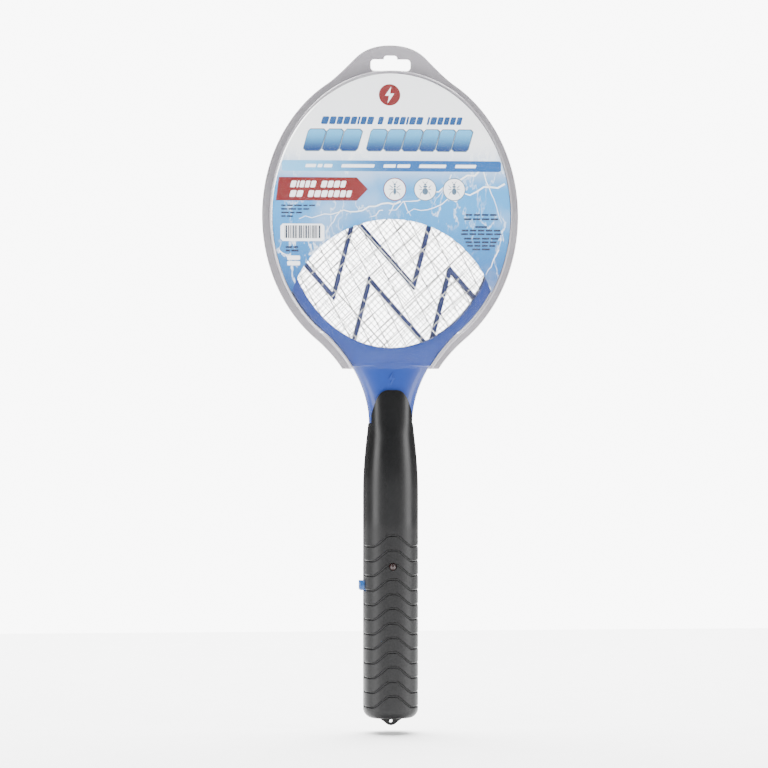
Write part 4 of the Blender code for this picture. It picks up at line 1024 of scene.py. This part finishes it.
def ledLens():
    z = (ledLow[2] + ledHigh[2]) / 2
    radius, thin = lamp["radius"], lamp["legHalf"]
    tip = ledLow[1]
    bpy.ops.mesh.primitive_uv_sphere_add(segments=48, ring_count=24, radius=radius,
                                         location=(0, tip + radius, z), rotation=(math.pi / 2, 0, 0))
    lens = bpy.context.object
    applyPlace(lens)
    makeActive(lens)
    bpy.ops.object.mode_set(mode="EDIT")
    bpy.ops.mesh.select_all(action="SELECT")
    bpy.ops.mesh.bisect(plane_co=(0, tip + radius, z), plane_no=(0, 1, 0), use_fill=True, clear_outer=True)
    bpy.ops.mesh.select_all(action="DESELECT")
    bpy.ops.mesh.select_mode(type="FACE")
    cap = bmesh.from_edit_mesh(lens.data)
    for face in cap.faces:
        face.select = face.normal.y > 0.99 and len(face.verts) > 12
    bmesh.update_edit_mesh(lens.data)
    bpy.ops.mesh.extrude_region_move(TRANSFORM_OT_translate={"value": (0, lamp["barrel"], 0)})
    bpy.ops.mesh.extrude_region_move()
    bpy.ops.transform.resize(value=(lamp["rimGrow"], 1, lamp["rimGrow"]),
                             center_override=(0, tip + radius + lamp["barrel"], z))
    bpy.ops.mesh.extrude_region_move(TRANSFORM_OT_translate={"value": (0, lamp["rim"], 0)})
    bpy.ops.object.mode_set(mode="OBJECT")
    cleanShell(lens)
    for x in (-lamp["legX"], lamp["legX"]):
        leg = boxBetween((x - thin, tip + radius + lamp["legStart"], z - thin),
                         (x + thin, ledHigh[1], z + thin))
        joinInto(lens, [leg])
    smooth(lens, 40)
    return lens


dressPiece(ledLens(), "ledLens", ledRed, "swatter", "led_red", "led_indicator")
print("button and lamp made")


# the fixed hardware inside keeps its solid and takes a finish
finishes = {
    "screw_steel": screwSteel,
    "contact_steel": contactSteel,
    "board_green": boardGreen,
    "component_black": moulded,
    "resistor_body": resistorBeige,
    "capacitor_film": filmRed,
    "transformer_tape": tapeAmber,
    "lead_red": leadRed,
    "lead_black": leadBlack,
    "cell_sleeve": cellSleeve,
}
slotOf = {row["node"]: row["material_slot"] for row in frame["record"]["subparts"]}
for nodeName, node in nodes.items():
    finish = finishes.get(slotOf[nodeName])
    if finish:
        for index in range(len(node.material_slots)):
            node.material_slots[index].material = finish
print("hardware finished")


pack = {
    "flange": 7.1 * mm,
    "skirt": 2.4 * mm,
    "film": 0.35 * mm,
    "innerY": 9.05 * mm,
    "outerY": 9.4 * mm,
    "mouthZ": -209.9 * mm,
    "tabTop": 7.0 * mm,
    "tabHalf": 23.5 * mm,
    "tabShoulder": -1.5 * mm,
    "tabPull": 4.5 * mm,
    "tabFoot": 43.0 * mm,
    "footPull": (6.0 * mm, -4.0 * mm),
    "slotHalf": 13.4 * mm,
    "slotTop": -2.5 * mm,
    "slotBottom": -10.1 * mm,
    "bumpHalf": 4.5 * mm,
    "slotCorner": 2.4 * mm,
    "cardHalfWidth": 79.8 * mm,
    "cardHalfHeight": 94.6 * mm,
    "arcRadius": 70.3 * mm,
    "arcDrop": 72.9 * mm,
    "cardFace": 8.7 * mm,
    "cardBack": 8.3 * mm,
}


def packLoop(grow=0.0):
    # the flange's front view: hang tab, oval, flare and mouth
    spread = pack["flange"] + grow
    half = pack["tabHalf"] + grow
    top = Vector((0, pack["tabTop"] + grow))
    shoulder = Vector((half, pack["tabShoulder"]))
    slope = Vector((pack["tabPull"], -pack["tabPull"]))
    right = [top] + cubicPoints(top, top + Vector((half / 2, 0)), shoulder - slope, shoulder, 18)
    footAngle = math.acos(pack["tabFoot"] / (head["outerA"] + spread))
    foot = Vector((pack["tabFoot"], head["z"] + (head["outerB"] + spread) * math.sin(footAngle)))
    right += cubicPoints(shoulder, shoulder + slope, foot - Vector(pack["footPull"]), foot, 14)
    for i in range(1, 80):
        a = footAngle - (footAngle + neck["flareAngle"]) * i / 80
        right.append(headPoint(a, spread))
    right += [p for p in flareEdge(spread, 24) if p.y > pack["mouthZ"] + 0.5 * mm]
    right.append(Vector((flareWidth(pack["mouthZ"], spread), pack["mouthZ"])))
    return mirrored(right)


def slotLoop():
    radius = pack["slotCorner"]
    end = pack["slotHalf"] - radius
    low = pack["slotBottom"] + radius
    high = pack["slotTop"] - radius
    bump = pack["bumpHalf"]
    right = [Vector((0, 0)), Vector((bump - 1.6 * mm, 0)), Vector((bump - 0.6 * mm, -0.5 * mm)),
             Vector((bump, -1.5 * mm)), Vector((bump, pack["slotTop"]))]
    for centreZ, first in ((high, 0.0), (low, math.pi / 2)):
        for i in range(7):
            a = first + math.pi / 2 * i / 6
            right.append(Vector((end + radius * math.sin(a), centreZ + radius * math.cos(a))))
    right.append(Vector((0, pack["slotBottom"])))
    return right + [Vector((-p.x, p.y)) for p in reversed(right[1:-1])]


filmFinish = {
    "edgeAlpha": 0.5,
    "flangeAlpha": 0.66,
    "faceAlpha": 0.015,
    "faceColour": (0.6, 0.6, 0.62),
    # the grey on the flange, wall and tab is painted shade
    "paintedShadeColour": (0.3, 0.285, 0.31),
    "roughness": 0.1,
    "ovalA": 80.0 * mm,
    "ovalB": 94.8 * mm,
    "ovalZ": head["z"],
    "wallHigh": flareEdge(0.0, 1)[0].y - 0.2 * mm,
    "mouth": -212 * mm,
}
filmFinish["wallLow"] = filmFinish["wallHigh"] - 3 * mm
flareDrop = filmFinish["wallHigh"] - filmFinish["mouth"]
flareStops = [filmFinish["wallHigh"] - flareDrop * i / 9 for i in range(10)]
filmFinish["flare"] = [(z, flareWidth(z)) for z in flareStops]
packageFilm = clearFilm("packageFilm", filmFinish)


def packShell(name, side, node):
    end = pack["mouthZ"] - 6 * mm
    shell = outlineCurve("flange", [packLoop(-0.05 * mm), slotLoop()], pack["film"] / 2)
    shiftY(shell, side * (head["seam"] + pack["film"] / 2 + 0.02 * mm))
    crown = outlineCurve("crown", [racketLoop(pack["skirt"], end)], pack["outerY"], 1.5 * mm, 4)
    boolean(shell, crown, "UNION")
    inside = racketLoop(pack["skirt"] - pack["film"], end - 2 * mm)
    boolean(shell, outlineCurve("room", [inside], pack["innerY"], 1.2 * mm, 4))
    boolean(shell, boxBetween((-0.2, -0.1, pack["mouthZ"] - 0.05), (0.2, 0.1, pack["mouthZ"])))
    keepSide(shell, side, head["seam"])
    smooth(shell, 40)
    return dressPiece(shell, name, packageFilm, "swatter", "package_film", node)


packShell("packFront", -1, "package_front_shell")
packShell("packRear", 1, "package_rear_shell")
print("pack shells made")


def cardLoop():
    a, b = pack["cardHalfWidth"], pack["cardHalfHeight"]
    arcZ = head["z"] - pack["arcDrop"]
    start = -math.pi / 2
    while math.hypot(a * math.cos(start), head["z"] + b * math.sin(start) - arcZ) < pack["arcRadius"]:
        start += math.radians(0.05)
    oval = []
    for i in range(161):
        turn = start + (math.pi - 2 * start) * i / 160
        oval.append((a * math.cos(turn), head["z"] + b * math.sin(turn)))
    left = math.atan2(oval[-1][1] - arcZ, oval[-1][0])
    right = math.pi - left
    arc = [(pack["arcRadius"] * math.cos(left + (right - left) * i / 80),
            arcZ + pack["arcRadius"] * math.sin(left + (right - left) * i / 80)) for i in range(1, 80)]
    return oval + arc


skyInk = {
    "whiteZ": -56 * mm,
    "skyZ": -92 * mm,
    "deepZ": -178 * mm,
    "white": (0.93, 0.95, 0.97),
    "sky": (0.035, 0.27, 0.6),
    "deep": (0.0, 0.045, 0.22),
    "streak": (0.92, 0.97, 1.0),
}
card = outlineCurve("packageCard", [cardLoop()], (pack["cardFace"] - pack["cardBack"]) / 2)
shiftY(card, -(pack["cardFace"] + pack["cardBack"]) / 2)
smooth(card, 30)
dressPiece(card, "packageCard", skyPrint("cardPrint", skyInk), "swatter", "package_card", "package_card")
print("card made")


art = {
    "layer": 0.06 * mm,
    "slant": 0.22,
    "titleZ": -57.3 * mm,
    "titleHeight": 14.0 * mm,
    "titleLow": (0.0, 0.03, 0.15),
    "titleHigh": (0.08, 0.38, 0.66),
    "bannerRed": ((0.13, 0.0001, 0.0004), (0.16, 0.0002, 0.0006)),
    "seed": 7,
}


def inkLayer(name, loops, level, material):
    piece = outlineCurve(name, loops, art["layer"] / 2)
    shiftY(piece, -(pack["cardFace"] + art["layer"] * (level + 0.5)))
    return dressPiece(piece, name, material, "swatter", "package_card")


def slantBlock(x, z, width, height, slant=None):
    # a leaning bar with clipped corners, from its lower left corner
    lean = height * (art["slant"] if slant is None else slant)
    cut = min(width, height) * 0.14
    corners = [(x + cut, z), (x + width - cut, z), (x + width, z + cut), (x + width + lean, z + height - cut),
               (x + width + lean - cut, z + height), (x + lean + cut, z + height),
               (x + lean, z + height - cut), (x, z + cut)]
    return [Vector(c) for c in corners]


def barRow(x, z, height, widths, gap, slant=None):
    loops = []
    for width in widths:
        if width > 0:
            loops.append(slantBlock(x, z, width, height, slant))
            x += width + gap
        else:
            x -= width
    return loops


def oval(x, z, halfWide, halfTall, steps=20):
    turns = [2 * math.pi * i / steps for i in range(steps)]
    return [Vector((x + halfWide * math.cos(a), z + halfTall * math.sin(a))) for a in turns]


def disc(x, z, radius):
    return oval(x, z, radius, radius, 40)


def stroke(points, width):
    # a thin ribbon along a line, tapered to its end
    left, right = [], []
    last = len(points) - 1
    for i, point in enumerate(points):
        before = points[max(0, i - 1)]
        after = points[min(last, i + 1)]
        side = (after - before).normalized()
        side = Vector((-side.y, side.x)) * width / 2 * (1 - 0.75 * i / last)
        left.append(point + side)
        right.append(point - side)
    return left + right[::-1]


def insect(x, z, size, wide, legs):
    # a plain bug: three body parts, bent legs and feelers
    loops = [oval(x, z - size * 0.2, size * wide, size * 0.46),
             oval(x, z + size * 0.43, size * wide * 0.75, size * 0.15),
             oval(x, z + size * 0.73, size * 0.17, size * 0.13)]
    for side in (-1, 1):
        for rise, reach in legs:
            hip = Vector((x + side * size * (wide + 0.06), z + size * rise * 0.5))
            knee = Vector((x + side * size * (wide + reach), z + size * rise))
            foot = Vector((x + side * size * (wide + reach + 0.14), z + size * (rise * 1.6 - 0.15)))
            loops.append(stroke([hip, knee, foot], size * 0.13))
        loops.append(stroke([Vector((x + side * size * 0.14, z + size * 0.9)),
                             Vector((x + side * size * 0.34, z + size * 1.16))], size * 0.1))
    return loops


def jagged(start, end, bends, sway, source):
    points = []
    for i in range(bends + 1):
        t = i / bends
        point = Vector(start).lerp(Vector(end), t)
        wobble = sway * (source.random() - 0.5) * 2 if 0 < i < bends else 0
        points.append((point + Vector((0, wobble))) * mm)
    return points


titleFoot = art["titleZ"] - art["titleHeight"] / 2
titleBlue = gradientInk("titleBlue", titleFoot, art["titleZ"] + art["titleHeight"] / 2,
                        art["titleLow"], art["titleHigh"])
bandBlue = gradientInk("bandBlue", -74 * mm, 10 * mm, (0.14, 0.46, 0.76), (0.0, 0.08, 0.28), "X")
whiteInk = printed("whiteInk", (0.88, 0.9, 0.92), (0.95, 0.96, 0.97))
redInk = printed("redInk", *art["bannerRed"])
textBlue = printed("lineBlue", (0.0, 0.05, 0.18), (0.0, 0.06, 0.21))
darkInk = printed("darkInk", (0.004, 0.01, 0.03), (0.008, 0.02, 0.045))
greyInk = printed("greyInk", (0.05, 0.1, 0.16), (0.08, 0.14, 0.21))

titleWidths = (11.5, 10.5, 11.5, -5.0, 10.5, 11.0, 10.5, 10.0, 9.5, 10.5)
titleStart = -59 * mm
titleWords = barRow(titleStart, titleFoot, art["titleHeight"], [w * mm for w in titleWidths], 1.2 * mm)
edgeWidths = [(w + 1.1) * mm if w > 0 else w * mm for w in titleWidths]
titleEdge = barRow(titleStart - 0.55 * mm, titleFoot - 0.6 * mm, art["titleHeight"] + 1.2 * mm,
                   edgeWidths, 0.1 * mm)
inkLayer("titleEdge", titleEdge, 0, greyInk)
inkLayer("titleBlocks", titleWords, 1, titleBlue)
subtitle = (4.6, 4.2, 3.8, 4.0, 3.8, 1.4, 3.6, 4.0, -2.4, 3.4, -2.4, 3.4, 3.2, 3.6, 1.4, 4.0, 4.0,
            -2.4, 1.4, 4.0, 3.6, 3.4, 3.6, 3.4)
subtitleRow = barRow(-47.5 * mm, -46.8 * mm, 5.2 * mm, [w * mm for w in subtitle], 0.75 * mm)
inkLayer("subtitleBars", subtitleRow, 0, textBlue)

badge = Vector((-1.5 * mm, -27 * mm))
inkLayer("badgeDisc", [disc(badge.x, badge.y, 7.2 * mm)], 0, redInk)
inkLayer("badgeBolt", [[badge + Vector(p) * 11 * mm for p in boltShape]], 1, whiteInk)

inkLayer("band", [slantBlock(-73.5 * mm, -78.1 * mm, 147 * mm, 7.2 * mm, 0.0)], 0, bandBlue)
bandWords = (7, 3, 5.5, -5, 22, -5, 8, 8.5, -5, 18, -5, 14)
bandRow = barRow(-58 * mm, -75.6 * mm, 2.2 * mm, [w * mm for w in bandWords], 1.2 * mm)
inkLayer("bandBars", bandRow, 1, whiteInk)

banner = [(-77.5, -97.8), (-23.5, -97.8), (-16.0, -90.0), (-23.5, -82.2), (-75.6, -82.2)]
inkLayer("banner", [[Vector(p) * mm for p in banner]], 0, redInk)
bannerRows = ((-68, -89.0, (3.4, 1.2, 2.8, 2.8, 3.2, -3, 3.6, 3.4, 3.6, 3.2)),
              (-68.5, -95.4, (3.8, 3.8, -3, 3.4, 3.8, 3.8, 3, 3.4, 3.4, 3)))
bannerWords = []
for x, z, widths in bannerRows:
    bannerWords += barRow(x * mm, z * mm, 4.4 * mm, [w * mm for w in widths], 0.8 * mm)
inkLayer("bannerBars", bannerWords, 1, whiteInk)

icons = ((2.0, 0.2, ((-0.5, 0.4), (0.1, 0.5), (0.5, 0.4))),
         (22.4, 0.4, ((-0.5, 0.22), (0.08, 0.3), (0.5, 0.3))),
         (41.9, 0.32, ((-0.4, 0.28), (0.1, 0.36), (0.5, 0.34))))
for index, (x, wide, legs) in enumerate(icons):
    place = Vector((x, -90)) * mm
    ring = redInk if index == 0 else greyInk
    rims = [disc(place.x, place.y, radius) for radius in (7.7 * mm, 7.1 * mm)]
    inkLayer(f"iconRing{index + 1}", rims, 0, ring)
    inkLayer(f"iconDisc{index + 1}", [disc(place.x, place.y, 7.1 * mm)], 0, whiteInk)
    inkLayer(f"iconBug{index + 1}", insect(place.x, place.y - 0.3 * mm, 5.0 * mm, wide, legs), 1, greyInk)

inkLayer("codeBox", [slantBlock(-74.5 * mm, -124.8 * mm, 29.4 * mm, 11.6 * mm, 0.0)], 0, whiteInk)
codeBars = []
codeX = -71.6
index = 0
while codeX <= -48:
    width = 0.3 + 0.24 * ((index * 7) % 4)
    codeBars.append(slantBlock(codeX * mm, -122.9 * mm, width * mm, 8.6 * mm, 0.0))
    codeX += width + 0.3 + 0.14 * ((index * 5) % 3)
    index += 1
inkLayer("codeBars", codeBars, 1, darkInk)
for index, z in enumerate((-135.9, -139.6)):
    sign = slantBlock(-70 * mm, (z - 1.4) * mm, 8.6 * mm, 2.8 * mm, 0.0)
    inkLayer(f"cellSign{index + 1}", [sign], 0, whiteInk)

smallLeft = []
for index, length in enumerate((25, 20, 15, 10)):
    words = [(3 + (index + i) % 3 * 1.1) * mm for i in range(int(length / 5))]
    smallLeft += barRow(-74 * mm, (-101.6 - index * 2.4) * mm, 1.1 * mm, words, 0.8 * mm, 0.0)
smallLeft += barRow(-71 * mm, -129.5 * mm, 1.3 * mm, [4.5 * mm, 3 * mm], 0.8 * mm, 0.0)
smallLeft += barRow(-71 * mm, -131.8 * mm, 1.3 * mm, [3 * mm, 4.8 * mm], 0.8 * mm, 0.0)
smallRight = []
rows = ((-107.5, 22), (-110.4, 24), (-115.6, 9), (-118.0, 27), (-120.4, 28), (-123.4, 24), (-125.8, 22),
        (-128.2, 20), (-130.6, 13))
for index, (z, length) in enumerate(rows):
    count = max(1, int(length / 5))
    words = [(length / count - 0.9) * mm] * count
    smallRight += barRow((60.5 - length / 2) * mm, z * mm, 1.3 * mm, words, 0.9 * mm, 0.0)
inkLayer("smallBars", smallLeft + smallRight, 0, darkInk)

source = random.Random(art["seed"])
# start, end, bends, sway and width of each strike, in millimetres on the card
strikes = (((75, -70), (-2, -104), 16, 2.6, 1.5), ((76, -86), (10, -106), 14, 2.4, 1.3),
           ((6, -98), (-62, -110), 16, 2.0, 1.2), ((60, -74), (74, -112), 8, 2.0, 0.8),
           ((-6, -104), (-20, -112), 6, 1.2, 0.7), ((8, -98), (14, -111), 5, 1.0, 0.7),
           ((-34, -104), (-44, -119), 6, 1.4, 0.7), ((2, -99), (-3, -110), 5, 0.8, 0.8),
           ((72, -130), (58, -158), 8, 1.6, 0.8), ((-78, -128), (-58, -146), 8, 1.8, 0.8),
           ((40, -80), (28, -100), 7, 1.4, 0.6))
arcTop = head["z"] - pack["arcDrop"]
loops = []
for start, end, bends, sway, width in strikes:
    line = [p for p in jagged(start, end, bends, sway, source)
            if math.hypot(p.x, p.y - arcTop) > pack["arcRadius"] + 1 * mm
            and math.hypot(p.x / pack["cardHalfWidth"], (p.y - head["z"]) / pack["cardHalfHeight"]) < 0.985]
    if len(line) > 2:
        loops.append(stroke(line, width * mm))
for index, loop in enumerate(loops):
    strike = outlineCurve(f"strike{index + 1}", [loop], 0.012 * mm)
    shiftY(strike, -(pack["cardFace"] + 0.014 * mm))
    dressPiece(strike, f"strike{index + 1}", whiteInk, "swatter", "package_card")
print("card art made")


studio = {
    "aim": Vector((-4.4 * mm, 0, -220 * mm)),
    "distance": 2.2,
    "lens": 153.9,
    "turn": math.radians(-5.5),
    "backdrop": 11.0,
    "ambient": 0.2,
}
floorZ = cadBounds[0][2] - 5 * mm
bpy.ops.mesh.primitive_plane_add(size=1.8, location=(0, 0, floorZ))
floor = bpy.context.object
floor.name = "floor"
applyPlace(floor)
floorPaint = plastic("floorPaint", (0.9, 0.9, 0.9), (0.93, 0.93, 0.93), 0.6, 0.05, 300.0, 0.02)
floor.data.materials.append(floorPaint)

world = bpy.data.worlds.new("studio")
bpy.context.scene.world = world
world.use_nodes = True
sky = world.node_tree
paper = sky.nodes["Background"]
paper.inputs["Color"].default_value = (1, 1, 1, 1)
paper.inputs["Strength"].default_value = studio["ambient"]
bright = sky.nodes.new("ShaderNodeBackground")
bright.inputs["Strength"].default_value = studio["backdrop"]
path = sky.nodes.new("ShaderNodeLightPath")
mix = sky.nodes.new("ShaderNodeMixShader")
sky.links.new(path.outputs["Is Camera Ray"], mix.inputs[0])
sky.links.new(paper.outputs[0], mix.inputs[1])
sky.links.new(bright.outputs[0], mix.inputs[2])
sky.links.new(mix.outputs[0], sky.nodes["World Output"].inputs["Surface"])


def softLight(name, place, size, power, aim):
    light = bpy.data.lights.new(name, "AREA")
    light.shape = "RECTANGLE"
    light.size, light.size_y = size
    light.energy = power
    obj = bpy.data.objects.new(name, light)
    bpy.context.scene.collection.objects.link(obj)
    obj.location = place
    obj.rotation_euler = (aim - Vector(place)).to_track_quat("-Z", "Y").to_euler()


softLight("overhead", (0, 0.9, 1.4), (2.6, 2.0), 420, Vector((0, 0.2, floorZ)))
softLight("keyLeft", (-1.5, -1.25, 0.1), (1.0, 1.8), 60, studio["aim"])
softLight("fillRight", (1.5, -1.15, 0.1), (1.0, 1.8), 64, studio["aim"])

lens = bpy.data.cameras.new("camera")
lens.lens = studio["lens"]
lens.sensor_width = 36
camera = bpy.data.objects.new("camera", lens)
bpy.context.scene.collection.objects.link(camera)
away = Vector((math.sin(studio["turn"]), -math.cos(studio["turn"]), 0))
camera.location = studio["aim"] + away * studio["distance"]
camera.rotation_euler = (-away).to_track_quat("-Z", "Y").to_euler()
bpy.context.scene.camera = camera
print("studio made")
